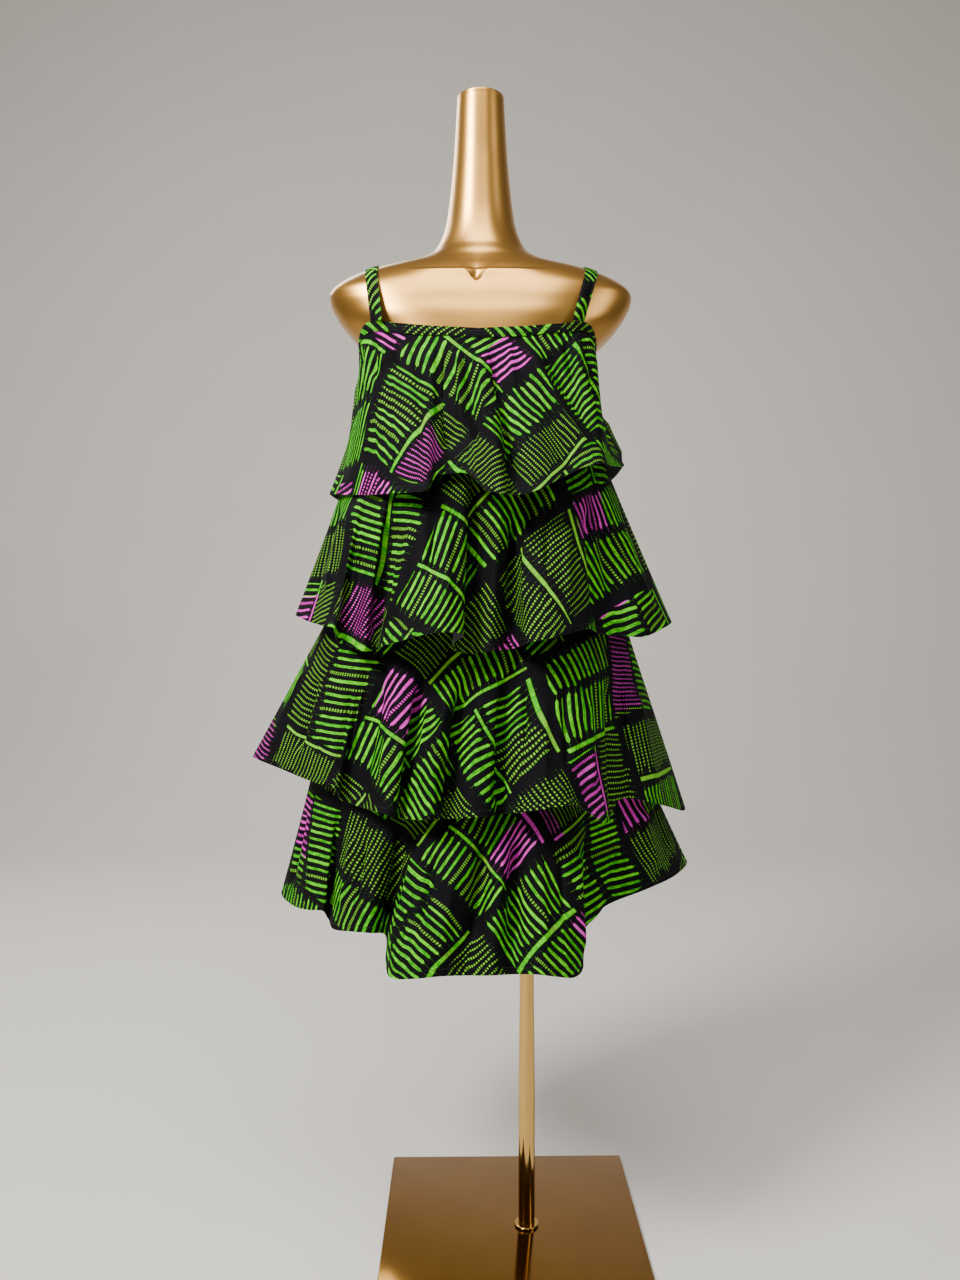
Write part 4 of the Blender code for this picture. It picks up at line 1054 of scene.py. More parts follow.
def printed_cotton(name):
    """Plain-weave cotton with a hand-brushed print of crossed patches.

    Dyed cotton is matte. The print has no shine of its own, its strokes have soaked edges
    and small misses, and the reverse shows only a grey ghost of it.
    """
    look = bpy.context.scene.dress_cloth
    material, tree, shader = new_material(name)
    add, calc, eased, mix, rough, to_vector, split_up, roll = (
        partial(helper, tree) for helper in (add_node, calculate, eased_between, blended,
                                             noise, vector, parts, chances))
    place = add("ShaderNodeUVMap", uv_map="cut").outputs[0]
    square_x, square_y, square_rolls, chosen_x, chosen_y = drawn_squares(
        tree, place, look.square)
    # the square is split into two patches, not quite in its middle
    split = calc("MULTIPLY_ADD", square_rolls[0], *SPLIT)
    second = calc("GREATER_THAN", chosen_x, split)
    low = calc("MULTIPLY", second, split)
    high = calc("MAXIMUM", second, split)
    stroke_way = calc("DIVIDE", calc("SUBTRACT", chosen_x, low), calc("SUBTRACT", high, low))
    patch_chance, patch_rolls = roll(to_vector(square_x, square_y, second))
    slant = calc("MULTIPLY_ADD", patch_rolls[0], *SLANT)
    slanted = add("ShaderNodeVectorRotate",
                  {"Vector": to_vector(stroke_way, chosen_y), "Center": (0.5, 0.5, 0.0),
                   "Angle": slant}, rotation_type="Z_AXIS")
    along, beside, _ = split_up(slanted.outputs[0])
    # the hand that brushed them was not quite steady
    aside = calc("MULTIPLY_ADD", rough(place, *HAND_NOISE), HAND_REACH, beside)
    # about one patch in four is all thin ladders of short ticks, which lie closer together
    dotted_patch = calc("LESS_THAN", patch_rolls[2], DOTTED_PATCHES)
    lanes = calc("MULTIPLY_ADD", patch_rolls[1], LANE_SPREAD,
                 look.square / look.stroke_pitch - 0.5 * LANE_SPREAD)
    lanes = calc("MULTIPLY", lanes, calc("MULTIPLY_ADD", dotted_patch, DOTTED_LANES, 1.0))
    lane_place = calc("MULTIPLY", aside, lanes)
    lane = calc("FLOOR", lane_place)
    from_middle = calc("ABSOLUTE", calc("SUBTRACT", calc("FRACT", lane_place), 0.5))
    lane_key = calc("MULTIPLY_ADD", second, SECOND_STROKES, lane)
    stroke_chance, rolls = roll(to_vector(square_x, square_y, lane_key))
    # some patches are closed off by one stroke across their ends
    closed = calc("GREATER_THAN", patch_chance, CLOSED_PATCHES)
    start = calc("MULTIPLY_ADD", rolls[0], *STROKE_START)
    end = calc("MULTIPLY_ADD", rolls[1], *STROKE_END)
    end = calc("MULTIPLY_ADD", closed, CLOSING_ROOM, end)
    tip = calc("MINIMUM", calc("SUBTRACT", along, start), calc("SUBTRACT", end, along))
    taper = eased(tip, *STROKE_TIP)
    grain = rough(place, *GRAIN_NOISE)
    half_width = calc("MULTIPLY_ADD", rolls[2], *STROKE_WIDTH)
    half_width = calc("MULTIPLY_ADD", grain, STROKE_ROUGH, half_width)
    # some strokes of the other patches are ladders too
    dotted_stroke = calc("LESS_THAN", stroke_chance, DOTTED_STROKES)
    ladder = calc("MAXIMUM", dotted_patch, dotted_stroke)
    half_width = calc("MULTIPLY_ADD", calc("MULTIPLY", dotted_patch, half_width),
                      DOTTED_WIDTH, half_width)
    half_width = calc("MULTIPLY", half_width, taper)
    within = calc("DIVIDE", from_middle, calc("MAXIMUM", half_width, LEAST_WIDTH))
    stroke = eased(within, *STROKE_EDGE)
    ticks = calc("FRACT", calc("MULTIPLY", along, 0.5 * look.square / TICK_PITCH))
    tick = eased(calc("ABSOLUTE", calc("SUBTRACT", ticks, 0.5)), *TICK)
    ticked = calc("SUBTRACT", 1.0, calc("MULTIPLY", ladder, calc("SUBTRACT", 1.0, tick)))
    stroke = calc("MULTIPLY", stroke, ticked)
    across_end = calc("DIVIDE", calc("ABSOLUTE", calc("SUBTRACT", along, CLOSING_PLACE)),
                      CLOSING_WIDTH)
    crossing = calc("MULTIPLY", eased(across_end, *STROKE_EDGE), closed)
    stroke = calc("MAXIMUM", stroke, crossing)
    within = calc("MULTIPLY_ADD", crossing, calc("SUBTRACT", across_end, within), within)
    # ground shows at both ends of a patch, more at some than at others
    first_end = calc("MULTIPLY_ADD", square_rolls[1], *BORDER_START)
    last_end = calc("MULTIPLY_ADD", patch_rolls[1], *BORDER_END)
    border = calc("MINIMUM", calc("SUBTRACT", chosen_y, first_end),
                  calc("SUBTRACT", last_end, chosen_y))
    border = calc("MINIMUM", border, calc("PINGPONG", stroke_way, 0.5))
    stroke = calc("MULTIPLY", stroke, eased(border, *PATCH_BORDER))
    misses = rough(place, *MISS_NOISE)
    stroke = calc("MULTIPLY", stroke, eased(misses, *MISSES))
    # colour of a stroke: soaked dark edge, lighter streaks along its middle
    soaked = eased(within, *SOAKED_EDGE)
    streak_way = calc("MULTIPLY", along, STREAK_STRETCH)
    streaks = rough(to_vector(streak_way, lane_place, patch_chance), *STREAK_NOISE)
    lightness = eased(calc("MULTIPLY_ADD", rolls[0], STREAK_ROLL, streaks), *LIGHT_STREAKS)
    fill = mix(lightness, tuple(look.green), tuple(look.light_green))
    fill = mix(calc("MULTIPLY", ladder, LADDER_TINT), fill, tuple(look.ladder_green))
    # some strokes were made with a split brush that left a broken line along their middle
    split_brush = calc("GREATER_THAN", rolls[1], DRY_BRUSHES)
    dry_line = calc("MULTIPLY", calc("MULTIPLY", split_brush, eased(grain, *DRY_BREAKS)),
                    eased(from_middle, *DRY_LINE))
    fill = mix(calc("MULTIPLY", dry_line, DRY_TINT), fill, tuple(look.dark_green))
    green = mix(soaked, fill, tuple(look.dark_green))
    pink = mix(lightness, tuple(look.pink), linear_colour(LIGHT_PINK))
    pink = mix(soaked, pink, linear_colour(DARK_PINK))
    half_patch = calc("FLOOR", calc("MULTIPLY_ADD", chosen_y, HALF_PATCHES, square_rolls[2]))
    pink_key = calc("MULTIPLY_ADD", second, SECOND_HALVES, half_patch)
    pink_chance = roll(to_vector(square_x, square_y, pink_key))[0]
    ink = mix(calc("LESS_THAN", pink_chance, PINK_PATCHES), green, pink)
    ground = mix(rough(place, *DYE_NOISE), tuple(look.ground), linear_colour(FADED_GROUND))
    face = mix(stroke, ground, ink)
    ghost = mix(calc("MULTIPLY", stroke, GHOST), tuple(look.reverse), ink)
    reverse = add("ShaderNodeAttribute", attribute_name="reverse").outputs["Fac"]
    give(tree, shader, {"Base Color": mix(eased(reverse, *REVERSE_SIDE), face, ghost),
                        "Normal": woven_normal(tree, place), "Roughness": 0.82,
                        "Specular IOR Level": 0.12})
    return material


def woven_normal(tree, place):
    """Normal of rumpled cloth, with the weave of its threads over it."""
    waves = [calculate(tree, "SINE", calculate(tree, "MULTIPLY", part,
                                               2.0 * math.pi / THREAD_PITCH))
             for part in parts(tree, place)[:2]]
    soft = add_node(tree, "ShaderNodeBump", {"Height": noise(tree, place, *RUMPLE_NOISE),
                                             "Strength": 0.55, "Distance": 0.0035})
    fine = add_node(tree, "ShaderNodeBump", {"Height": calculate(tree, "MULTIPLY", *waves),
                                             "Strength": 0.12, "Distance": 0.0003,
                                             "Normal": soft.outputs[0]})
    return fine.outputs[0]


def sewing_thread(name):
    """Spun polyester thread: dark, flecked with lighter grey as painted sheen for its slight
    twist.
    """
    look = bpy.context.scene.dress_cloth
    material, tree, shader = new_material(name)
    place = add_node(tree, "ShaderNodeTexCoord").outputs["Object"]
    # the lighter grey flecks are painted sheen
    colour = blended(tree, noise(tree, place, 1400.0), tuple(look.thread),
                     linear_colour(THREAD_PAINTED_SHEEN))
    give(tree, shader, {"Base Color": colour, "Roughness": 0.6})
    return material


def satin_gold(name):
    """Moulded glass fibre under a satin gold lacquer with metal flake.

    The flake makes it a metal to the eye, and the sprayed lacquer leaves a soft wide
    highlight with a faint orange peel, about 2 mm from dip to dip.
    """
    look = bpy.context.scene.dress_stand
    material, tree, shader = new_material(name)
    place = add_node(tree, "ShaderNodeTexCoord").outputs["Object"]
    cloud = noise(tree, place, 9.0, 3.0)
    colour = blended(tree, cloud, tuple(look.gold), linear_colour(DEEP_GOLD))
    sprayed = add_node(tree, "ShaderNodeMapRange",
                       {"Value": cloud, "To Min": look.form_roughness - 0.03,
                        "To Max": look.form_roughness + 0.04})
    peel = add_node(tree, "ShaderNodeBump", {"Height": noise(tree, place, 500.0),
                                             "Strength": 0.05, "Distance": 0.0003})
    give(tree, shader, {"Base Color": colour, "Metallic": 0.92, "Roughness": sprayed.outputs[0],
                        "Normal": peel.outputs[0], "Coat Weight": 0.12,
                        "Coat Roughness": 0.22})
    return material


def polished_brass(name):
    """Polished brass plating on steel: a near mirror with fine wiping marks, darker on the
    plate as painted shade.
    """
    look = bpy.context.scene.dress_stand
    material, tree, shader = new_material(name)
    # the plate's pair of colours is darker than the pole's as painted shade
    bright, worn = {BRASS: (look.brass, WORN_BRASS),
                    PLATE_BRASS_IN_PAINTED_SHADE: (look.plate_brass_in_painted_shade, WORN_PLATE_IN_PAINTED_SHADE)}[name]
    place = add_node(tree, "ShaderNodeTexCoord").outputs["Object"]
    colour = blended(tree, noise(tree, place, 14.0, 4.0), tuple(bright), linear_colour(worn))
    # wiping marks are 0.1 to 0.5 mm wide, drawn at 1.5 mm so that they show
    stretched = add_node(tree, "ShaderNodeMapping",
                         {"Vector": place, "Rotation": (0.0, 0.0, 0.5),
                          "Scale": (60.0, 700.0, 60.0)})
    haze = add_node(tree, "ShaderNodeMapRange",
                    {"Value": noise(tree, stretched.outputs[0], 1.0, 4.0),
                     "To Min": look.brass_roughness - 0.03,
                     "To Max": look.brass_roughness + 0.06})
    give(tree, shader, {"Base Color": colour, "Metallic": 1.0, "Roughness": haze.outputs[0]})
    return material


MATERIALS = {COTTON: printed_cotton, THREAD: sewing_thread, GOLD: satin_gold,
             BRASS: polished_brass, PLATE_BRASS_IN_PAINTED_SHADE: polished_brass}


def shared_material(name):
    """The material of that name, made on first use."""
    return bpy.data.materials.get(name) or MATERIALS[name](name)


def turned_mesh(name, profile, centre, ring=False):
    """A solid of revolution about an upright axis from (radius, height) points."""
    turns = np.linspace(0.0, 2.0 * math.pi, TURNED_SIDES, endpoint=False)
    points = [(centre[0] + r * math.cos(a), centre[1] + r * math.sin(a), z)
              for r, z in profile for a in turns]
    faces = tube_faces(len(profile), TURNED_SIDES, ring=ring, shut=not ring)
    return outward_mesh(name, points, faces, TURNED_SHARP)


def outward_mesh(name, points, faces, sharp_angle):
    """A smooth-shaded mesh with its faces outwards and its corners kept sharp."""
    mesh = bpy.data.meshes.new(name)
    mesh.from_pydata([tuple(p) for p in points], [], faces)
    face_outwards(mesh, sharp_angle)
    return mesh


def rounded_end(radius, height, step):
    """Profile points of an eased edge at the upper end of a turned piece."""
    return [(radius - step * (1.0 - math.sin(a)), height - step * (1.0 - math.cos(a)))
            for a in np.linspace(0.5 * math.pi, 0.0, 5)]


class DRESS_OT_stand(bpy.types.Operator):
    """Build the square plate, the pole, its foot ring and the socket under the form"""

    bl_idname = "dress.stand"
    bl_label = "Build Stand"

    def execute(self, context):
        shape = bmesh.new()
        bmesh.ops.create_cube(shape, size=1.0)
        bmesh.ops.scale(shape, vec=(PLATE_SIDE, PLATE_SIDE, PLATE_THICK), verts=shape.verts)
        bmesh.ops.translate(shape, vec=(0.0, 0.0, 0.5 * PLATE_THICK), verts=shape.verts)
        upright = [e for e in shape.edges if abs(e.verts[0].co.z - e.verts[1].co.z) > MM]
        bmesh.ops.bevel(shape, geom=upright, offset=PLATE_CORNER, segments=5,
                        affect="EDGES", profile=0.5)
        rim = [e for e in shape.edges if abs(e.verts[0].co.z - e.verts[1].co.z) < 1e-6]
        bmesh.ops.bevel(shape, geom=rim, offset=PLATE_RIM, segments=3,
                        affect="EDGES", profile=0.5)
        mesh = bpy.data.meshes.new("polished_plate")
        shape.to_mesh(mesh)
        shape.free()
        mesh.shade_smooth()
        mesh.set_sharp_from_angle(angle=math.radians(PLATE_SHARP))
        # the plate gets the darker brass, which is painted shade
        link_piece("polished_plate", mesh, PLATE_BRASS_IN_PAINTED_SHADE, "polished_brass", "base_plate")
        centre = (POLE_X, 0.0)
        pole = turned_mesh("tapered_pole", POLE_PROFILE, centre)
        link_piece("tapered_pole", pole, BRASS, "polished_brass", "pole")
        radius, foot = POLE_PROFILE[0]
        inner, top = radius + TOUCH, foot + RING_HEIGHT
        ring = turned_mesh("pole_foot_ring", [(inner, foot), (RING_RADIUS, foot)]
                           + rounded_end(RING_RADIUS, top, RING_EASE)
                           + [(inner, top)], centre, ring=True)
        link_piece("pole_foot_ring", ring, BRASS, "polished_brass", "foot_ring")
        socket = turned_mesh("socket_cup", SOCKET_PROFILE, centre)
        link_piece("socket_cup", socket, BRASS, "polished_brass", "form_socket")
        return {"FINISHED"}


def collar_relief(across, height):
    """How far the ledge of the collarbones stands out, in millimetres, and their notch in."""
    side = (across - NOTCH_PLACE) / COLLAR_HALF
    below = COLLAR_LINE + COLLAR_LIFT * side**2 - height
    ledge = smooth_step(below / COLLAR_EDGE) * np.exp(-np.maximum(below, 0.0) / COLLAR_FADE)
    ledge *= smooth_step((1.0 - np.abs(side)) / COLLAR_ENDS)
    up = np.clip((height - NOTCH_FOOT) / (COLLAR_LINE - NOTCH_FOOT), 0.0, NOTCH_REACH)
    inside = np.abs(across - NOTCH_PLACE) / (NOTCH_TIP + NOTCH_SPREAD * up)
    open_top = smooth_step((NOTCH_TOP - height) / (NOTCH_TOP - NOTCH_FOOT))
    notch = np.maximum(1.0 - NOTCH_FALL * inside, 0.0)**NOTCH_POWER
    notch *= smooth_step(NOTCH_DEEPENS * up) * open_top
    return COLLAR_RISE * ledge - NOTCH_DEPTH * notch


class DRESS_OT_form(bpy.types.Operator):
    """Build the smooth limbless form and the cap on its neck"""

    bl_idname = "dress.form"
    bl_label = "Build Dress Form"

    def execute(self, context):
        levels = [row[0] for row in FORM_SECTIONS]
        heights = []
        for upper, lower in zip(levels[:-1], levels[1:]):
            near_collar = NOTCH_FOOT - COLLAR_MARGIN < upper < NOTCH_TOP + COLLAR_MARGIN
            step = COLLAR_STEP if near_collar else FORM_STEP
            steps = max(4, round((upper - lower) / step))
            heights.extend(np.linspace(upper, lower, steps, endpoint=False))
        heights.append(levels[-1])
        section = read_table(FORM_SECTIONS, np.array(heights))
        # columns lie closer together over the middle of the front
        turns = np.radians(np.concatenate([np.linspace(*columns, endpoint=False)
                                           for columns in (FRONT_COLUMNS, OTHER_COLUMNS)]))
        columns = len(turns)
        c, s = np.cos(turns)[None, :], np.sin(turns)[None, :]
        power = 2.0 / section[:, 4:5]
        x = section[:, 1:2] * np.sign(c) * np.abs(c) ** power
        y = section[:, 2:3] + section[:, 3:4] * np.sign(s) * np.abs(s) ** power
        z = np.repeat(section[:, :1], columns, axis=1)
        y -= collar_relief(x + FORM_X / MM, z) * smooth_step(-FRONT_FADE * s)
        points = np.stack([FORM_X + x * MM, y * MM, z * MM], axis=-1)
        faces = tube_faces(len(heights), columns, shut=True)
        mesh = outward_mesh("moulded_form", points.reshape(-1, 3), faces, FORM_SHARP)
        link_piece("moulded_form", mesh, GOLD, "satin_gold", "form_torso")
        middle = (FORM_X, FORM_SECTIONS[0][2] * MM)
        foot = NECK_TOP + TOUCH
        cap = ([(CAP_RADIUS - CAP_FOOT_EASE, foot), (CAP_RADIUS, foot + CAP_FOOT_EASE)]
               + rounded_end(CAP_RADIUS, CAP_TOP, CAP_EASE))
        link_piece("neck_top", turned_mesh("neck_top", cap, middle), GOLD, "satin_gold",
                   "neck_cap")
        return {"FINISHED"}


def cloth_halves(name, sheets, middle, cut):
    """Front and back half of a closed cloth surface, made into pieces.

    The sheets are its outer face, inner face and outward normals. Each half comes with its
    side, its node, its piece, its outer face, its normals, its flat size and its area.
    """
    columns = sheets[0].shape[1]
    for side, start, end in (("front", 0, middle), ("back", middle, columns)):
        half, under, out = (half_columns(sheet, start, end) for sheet in sheets)
        flat, area = cut(half)
        node = f"{name}_{side}"
        yield side, node, cloth_piece(node, half, under, flat), half, out, flat_size(flat), area


def hem_thread(node, half, out):
    """The stitches of a turned hem."""
    return stitch_line(node + "_hem_stitches", half[STITCH_ROW] + HEM_LIFT * out[STITCH_ROW])


def stitch_line(name, path):
    """Machine stitches that follow a path of points, as one plain mesh."""
    look = bpy.context.scene.dress_cloth
    tree = bpy.data.node_groups.get("Machine stitches") or stitch_tree()
    mesh = bpy.data.meshes.new(name + "_path")
    mesh.from_pydata([tuple(p) for p in path], [(k, k + 1) for k in range(len(path) - 1)], [])
    carrier = new_object(name + "_path", mesh)
    modifier = carrier.modifiers.new("stitches", "NODES")
    modifier.node_group = tree
    values = {"Spacing": look.stitch_spacing, "Stitch Length": look.stitch_length,
              "Thread Radius": look.thread_radius,
              "Thread": shared_material(THREAD)}
    for item in tree.interface.items_tree:
        if item.in_out == "INPUT" and item.name in values:
            modifier[item.identifier] = values[item.name]
    bpy.context.view_layer.update()
    evaluated = carrier.evaluated_get(bpy.context.evaluated_depsgraph_get())
    stitched = bpy.data.meshes.new_from_object(evaluated)
    bpy.data.objects.remove(carrier, do_unlink=True)
    return link_piece(name, stitched, THREAD, "printed_cotton")


def stitch_tree():
    """Geometry nodes: short rounded threads one after another along a path."""
    tree = bpy.data.node_groups.new("Machine stitches", "GeometryNodeTree")
    face = tree.interface
    face.new_socket("Geometry", in_out="INPUT", socket_type="NodeSocketGeometry")
    for name in ("Spacing", "Stitch Length", "Thread Radius"):
        face.new_socket(name, in_out="INPUT", socket_type="NodeSocketFloat")
    face.new_socket("Thread", in_out="INPUT", socket_type="NodeSocketMaterial")
    face.new_socket("Geometry", in_out="OUTPUT", socket_type="NodeSocketGeometry")
    given = add_node(tree, "NodeGroupInput")
    path = add_node(tree, "GeometryNodeMeshToCurve", {0: given.outputs["Geometry"]})
    places = add_node(tree, "GeometryNodeCurveToPoints",
                      {"Curve": path.outputs[0], "Length": given.outputs["Spacing"]},
                      mode="LENGTH")
    bead = add_node(tree, "GeometryNodeMeshUVSphere",
                    {"Segments": STITCH_SIDES, "Rings": STITCH_RINGS, "Radius": 1.0})
    radius = given.outputs["Thread Radius"]
    size = vector(tree, radius, radius,
                  calculate(tree, "MULTIPLY", given.outputs["Stitch Length"], 0.5))
    stitch = add_node(tree, "GeometryNodeTransform",
                      {"Geometry": bead.outputs["Mesh"], "Scale": size})
    aligned = add_node(tree, "FunctionNodeAlignRotationToVector",
                       {"Vector": places.outputs["Tangent"]}, axis="Z")
    laid = add_node(tree, "GeometryNodeInstanceOnPoints",
                    {"Points": places.outputs["Points"], "Instance": stitch.outputs[0],
                     "Rotation": aligned.outputs[0]})
    real = add_node(tree, "GeometryNodeRealizeInstances", {0: laid.outputs[0]})
    dressed = add_node(tree, "GeometryNodeSetMaterial",
                       {"Geometry": real.outputs[0], "Material": given.outputs["Thread"]})
    add_node(tree, "NodeGroupOutput", {0: dressed.outputs[0]})
    return tree


class DRESS_OT_flounces(bpy.types.Operator):
    """Hang the four flounces, each a front and a back, with the band on the first one"""

    bl_idname = "dress.flounces"
    bl_label = "Build Flounces and Band"

    def execute(self, context):
        lattice = None
        seams = [flounce[0] * MM for flounce in FLOUNCES[1:]] + [0.0]
        for number, flounce in enumerate(FLOUNCES, start=1):
            next_seam = seams[number - 1]
            outer, shares = hang_flounce(flounce, lattice, next_seam)
            normal = wall_normals(outer)
            inner = outer - FINE_WALL * normal
            middle = [row[3] for row in flounce[3]].index(1.00) * FOLD_COLUMNS
            if number < len(FLOUNCES):
                lattice = room_lattice(outer - WALL * normal, next_seam + ROOM_START,
                                       float(outer[-1, :, 2].min()) - ROOM_END)
            if number == 1:
                build_band(outer, normal, shares, middle)
            for side, node, piece, half, out, flat, area in cloth_halves(
                    f"flounce_{number}", (outer, inner, normal), middle, fan_cut):
                thread = hem_thread(node, half, out)
        return {"FINISHED"}


def build_band(cloth, normal, shares, middle):
    """The binding round the top edge, laid on the first flounce's own top rows."""
    rows = int(np.searchsorted(shares, BAND_SHARE)) + 1
    inner = cloth[:rows] + BAND_GAP * normal[:rows]
    ease = np.sin(np.linspace(0.0, math.pi, rows))[:, None, None] ** BAND_POWER
    outer = inner + (BAND_EDGE + BAND_CROWN * ease) * WALL * normal[:rows]
    for sheet in (inner, outer):
        sheet[0, :, 2] = cloth[0, :, 2] + TOP_DROP
    for side, node, piece, half, out, flat, area in cloth_halves(
            "top_band", (outer, inner, normal[:rows]), middle, strip_cut):
        lines = [half[k] + EDGE_LIFT * out[k] for k in (1, rows - 2)]
        threads = [stitch_line(f"{node}_stitches_{k}", line) for k, line in enumerate(lines)]


class DRESS_OT_foundation(bpy.types.Operator):
    """Build the plain inner dress that carries the flounces"""

    bl_idname = "dress.foundation"
    bl_label = "Build Foundation"

    def execute(self, context):
        columns = FOUNDATION_COLUMNS
        turns = math.pi * (np.arange(columns) * 2.0 / columns - 0.5)
        top = top_edge(turns) - TOP_DROP
        shares = share_rows(float(top.mean()) - FOUNDATION_BOTTOM)[:, None]
        heights = top[None, :] + (FOUNDATION_BOTTOM - top[None, :]) * shares
        turns = np.repeat(turns[None, :], len(heights), axis=0)
        reach = foundation_reach(turns, heights)
        outer = spots(turns, reach, heights)
        inner = spots(turns, reach - FINE_WALL, heights)
        normal = wall_normals(outer)
        for _, node, piece, half, out, flat, area in cloth_halves(
                "foundation", (outer, inner, normal), columns // 2, fan_cut):
            thread = hem_thread(node, half, out)
        return {"FINISHED"}


def form_away(across, height, side):
    """Front (side -1) or back (side 1) of the form at places across it and heights."""
    section = read_table(FORM_SECTIONS, height / MM)
    offset = np.minimum(np.abs(across - FORM_X) / MM, section[..., 1])
    power = section[..., 4]
    inside = (1.0 - (offset / section[..., 1]) ** power) ** (1.0 / power)
    return MM * (section[..., 2] + side * section[..., 3] * inside)


def crest_height(across):
    """Height of the shoulder's ridge at a place across the form."""
    low, high = SHOULDER_TIP, SHOULDER_ROOT
    for _ in range(CREST_STEPS):
        height = 0.5 * (low + high)
        if read_table(FORM_SECTIONS, height / MM)[1] * MM > abs(across - FORM_X):
            low = height
        else:
            high = height
    return low


def band_place(across, side):
    """Middle of the cloth layers on the band's top at a place across the dress."""
    turn = 0.0
    for _ in range(TURN_STEPS):
        bent = turn if side < 0 else math.pi - turn
        reach = float(foundation_reach(bent, top_edge(bent)))
        turn = math.asin(max(-1.0, min(1.0, (across - DRESS_X) / reach)))
    bent = turn if side < 0 else math.pi - turn
    return spots(bent, reach + LAYER, float(top_edge(bent)) + STRAP_DROP)


def strap_column(places, shift):
    """One lengthwise line of a strap's underside, band in front to band behind."""
    on_top = places[1] + shift
    crest = crest_height(on_top)
    halves = []
    for side, at_band in ((-1, places[0] + shift), (1, places[2] + shift)):
        foot = band_place(at_band, side)
        share = np.sin(np.radians(np.linspace(0.0, 90.0, STRAP_ROWS)))
        height = foot[2] + (crest - foot[2]) * share
        across = at_band + (on_top - at_band) * np.minimum(1.0, share / STRAP_ARRIVES)
        half = np.stack([across, form_away(across, height, side), height], axis=1)
        way = np.gradient(half[:, 1:], axis=0)
        way[-1] = (-side, 0.0)
        out = np.stack([side * way[:, 1], -side * way[:, 0]], axis=1)
        out /= np.linalg.norm(out, axis=1, keepdims=True)
        half[:, 1:] += STRAP_CLEARANCE * out
        slack = np.clip(1.0 - (half[:, 2] - foot[2]) / STRAP_LEAVES, 0.0, 1.0)
        half[:, 1] += (foot[1] - half[0, 1]) * slack**2
        half[0] = foot
        halves.append(half)
    return np.concatenate([halves[0], halves[1][-2::-1]])


class DRESS_OT_straps(bpy.types.Operator):
    """Lay the two flat shoulder straps over the form, from band to band"""

    bl_idname = "dress.straps"
    bl_label = "Build Straps"

    def execute(self, context):
        for node, places in STRAPS.items():
            shifts = np.linspace(-0.5, 0.5, STRAP_COLUMNS + 1) * STRAP_WIDTH
            under = np.stack([strap_column(places, shift) for shift in shifts], axis=1)
            way = np.gradient(under, axis=0)
            across = np.gradient(under, axis=1)
            out = np.cross(across, way)
            out /= np.linalg.norm(out, axis=2, keepdims=True)
            out[0] = (0.0, -1.0, 0.0)
            out[-1] = (0.0, 1.0, 0.0)
            ease = np.sin(np.linspace(0.0, math.pi, STRAP_COLUMNS + 1))
            crown = STRAP_EDGE + STRAP_CROWN * ease
            over = under + WALL * crown[None, :, None] * out
            flat, area = strip_cut(over)
            lines = [over[2:-2, k] + EDGE_LIFT * out[2:-2, k]
                     for k in (1, STRAP_COLUMNS - 1)]
            piece = cloth_piece(node, over, under, flat)
            threads = [stitch_line(f"{node}_stitches_{k}", line)
                       for k, line in enumerate(lines)]
            flat_size(flat)
        return {"FINISHED"}


def soft_light(name, place, aim, size, power, colour):
    """A large studio light that shines at a point."""
    data = bpy.data.lights.new(name, "AREA")
    data.shape = "RECTANGLE"
    data.size, data.size_y = size
    data.energy = power
    data.color = colour
    light = new_object(name, data)
    light.location = place
    way = np.array(aim) - np.array(place)
    light.rotation_euler = (math.atan2(math.hypot(way[0], way[1]), -way[2]), 0.0,
                            math.atan2(way[1], way[0]) - 0.5 * math.pi)


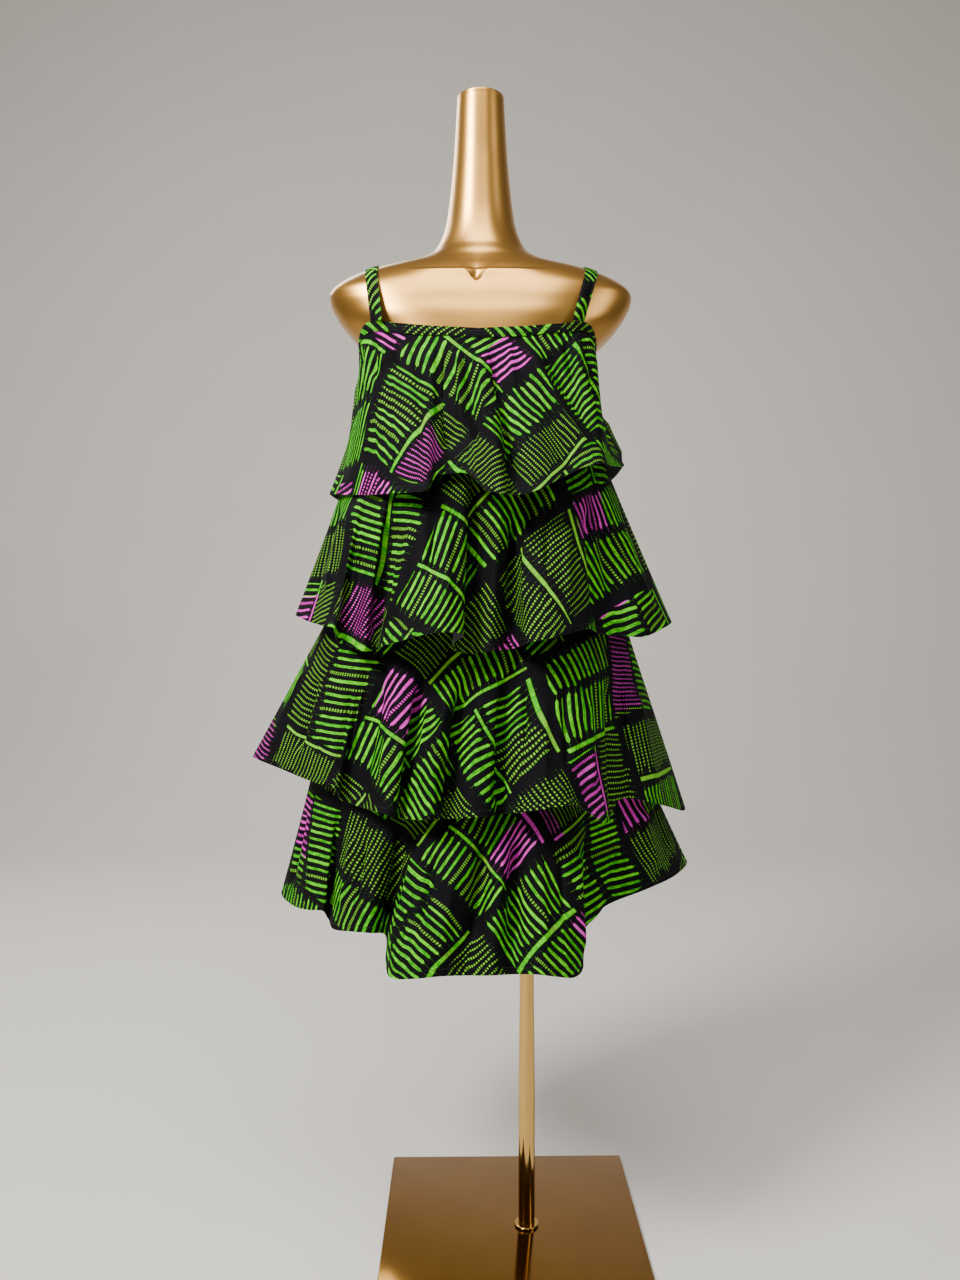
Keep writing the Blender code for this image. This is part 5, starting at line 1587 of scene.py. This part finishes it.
class DRESS_OT_stage(bpy.types.Operator):
    """Add the pale floor, the soft studio light and the camera"""

    bl_idname = "dress.stage"
    bl_label = "Build Stage"

    def execute(self, context):
        look = context.scene.dress_stage
        bend = [(FLOOR_FRONT, 0.0), (-FLOOR_BACK, 0.0)]
        for a in np.linspace(0.0, 0.5 * math.pi, BEND_STEPS + 1)[1:]:
            bend.append((-FLOOR_BACK - BEND_RADIUS * math.sin(a),
                         BEND_RADIUS * (1.0 - math.cos(a))))
        bend.append((-FLOOR_BACK - BEND_RADIUS, WALL_TOP))
        points = [(x, -away, z) for away, z in bend for x in (-FLOOR_HALF, FLOOR_HALF)]
        faces = [(2 * k, 2 * k + 1, 2 * k + 3, 2 * k + 2) for k in range(len(bend) - 1)]
        mesh = bpy.data.meshes.new("pale_floor")
        mesh.from_pydata(points, [], faces)
        mesh.shade_smooth()
        material, tree, shader = new_material("Matte studio paint")
        place = add_node(tree, "ShaderNodeTexCoord").outputs["Object"]
        mottle = calculate(tree, "MULTIPLY", noise(tree, place, 3.0), 0.15)
        colour = blended(tree, mottle, tuple(look.floor), linear_colour(FLOOR_SHADE))
        give(tree, shader, {"Base Color": colour, "Roughness": 0.7})
        mesh.materials.append(material)
        floor = new_object("pale_floor", mesh)
        floor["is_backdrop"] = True
        for name, place, aim, size, power, share, colour in LIGHTS:
            soft_light(name, place, aim, size, share * getattr(look, power), colour)
        world = bpy.data.worlds.new("studio_air")
        world.use_nodes = True
        air = world.node_tree.nodes["Background"]
        air.inputs[0].default_value = linear_colour(STUDIO_AIR)
        air.inputs[1].default_value = AIR_STRENGTH
        context.scene.world = world
        data = bpy.data.cameras.new("photo_camera")
        data.lens = look.lens
        data.sensor_width = SENSOR_WIDTH
        data.sensor_fit = "AUTO"
        data.clip_start = CLIP_START
        camera = new_object("photo_camera", data)
        camera.location = CAMERA_PLACE
        camera.rotation_euler = (math.radians(CAMERA_TILT), 0.0, math.radians(CAMERA_TURN))
        context.scene.camera = camera
        return {"FINISHED"}


class DRESS_PT_panel(bpy.types.Panel):
    """Buttons and sizes of the dress in the 3D view's sidebar"""

    bl_label = "Layered Dress"
    bl_idname = "DRESS_PT_panel"
    bl_space_type = "VIEW_3D"
    bl_region_type = "UI"
    bl_category = "Dress"

    def draw(self, context):
        layout = self.layout
        for operator in OPERATORS:
            layout.operator(operator.bl_idname)
        for group in (context.scene.dress_cloth, context.scene.dress_stand,
                      context.scene.dress_stage):
            box = layout.box()
            for name in group.__annotations__:
                box.prop(group, name)


OPERATORS = (DRESS_OT_stand, DRESS_OT_form, DRESS_OT_foundation, DRESS_OT_flounces,
             DRESS_OT_straps, DRESS_OT_stage)
GROUPS = {"dress_cloth": PrintedClothProperties, "dress_stand": StandProperties,
          "dress_stage": StageProperties}


def register():
    """Register every class and hang the settings on the scene."""
    for item in (*GROUPS.values(), *OPERATORS, DRESS_PT_panel):
        bpy.utils.register_class(item)
    for name, group in GROUPS.items():
        setattr(bpy.types.Scene, name, PointerProperty(type=group))


def unregister():
    """Take the settings and the classes away again."""
    for name in GROUPS:
        delattr(bpy.types.Scene, name)
    for item in reversed((*GROUPS.values(), *OPERATORS, DRESS_PT_panel)):
        bpy.utils.unregister_class(item)


def main():
    """Build every piece and the stage, then work out both boxes."""
    register()
    bpy.ops.dress.stand()
    bpy.ops.dress.form()
    bpy.ops.dress.foundation()
    bpy.ops.dress.flounces()
    bpy.ops.dress.straps()
    bpy.ops.dress.stage()
    bpy.context.view_layer.update()
    boxes = {"cad": CAD_BOX, "visual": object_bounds()}
    ({key: [[float(v) for v in corner] for corner in box]
               for key, box in boxes.items()})


if __name__ == "__main__":
    main()
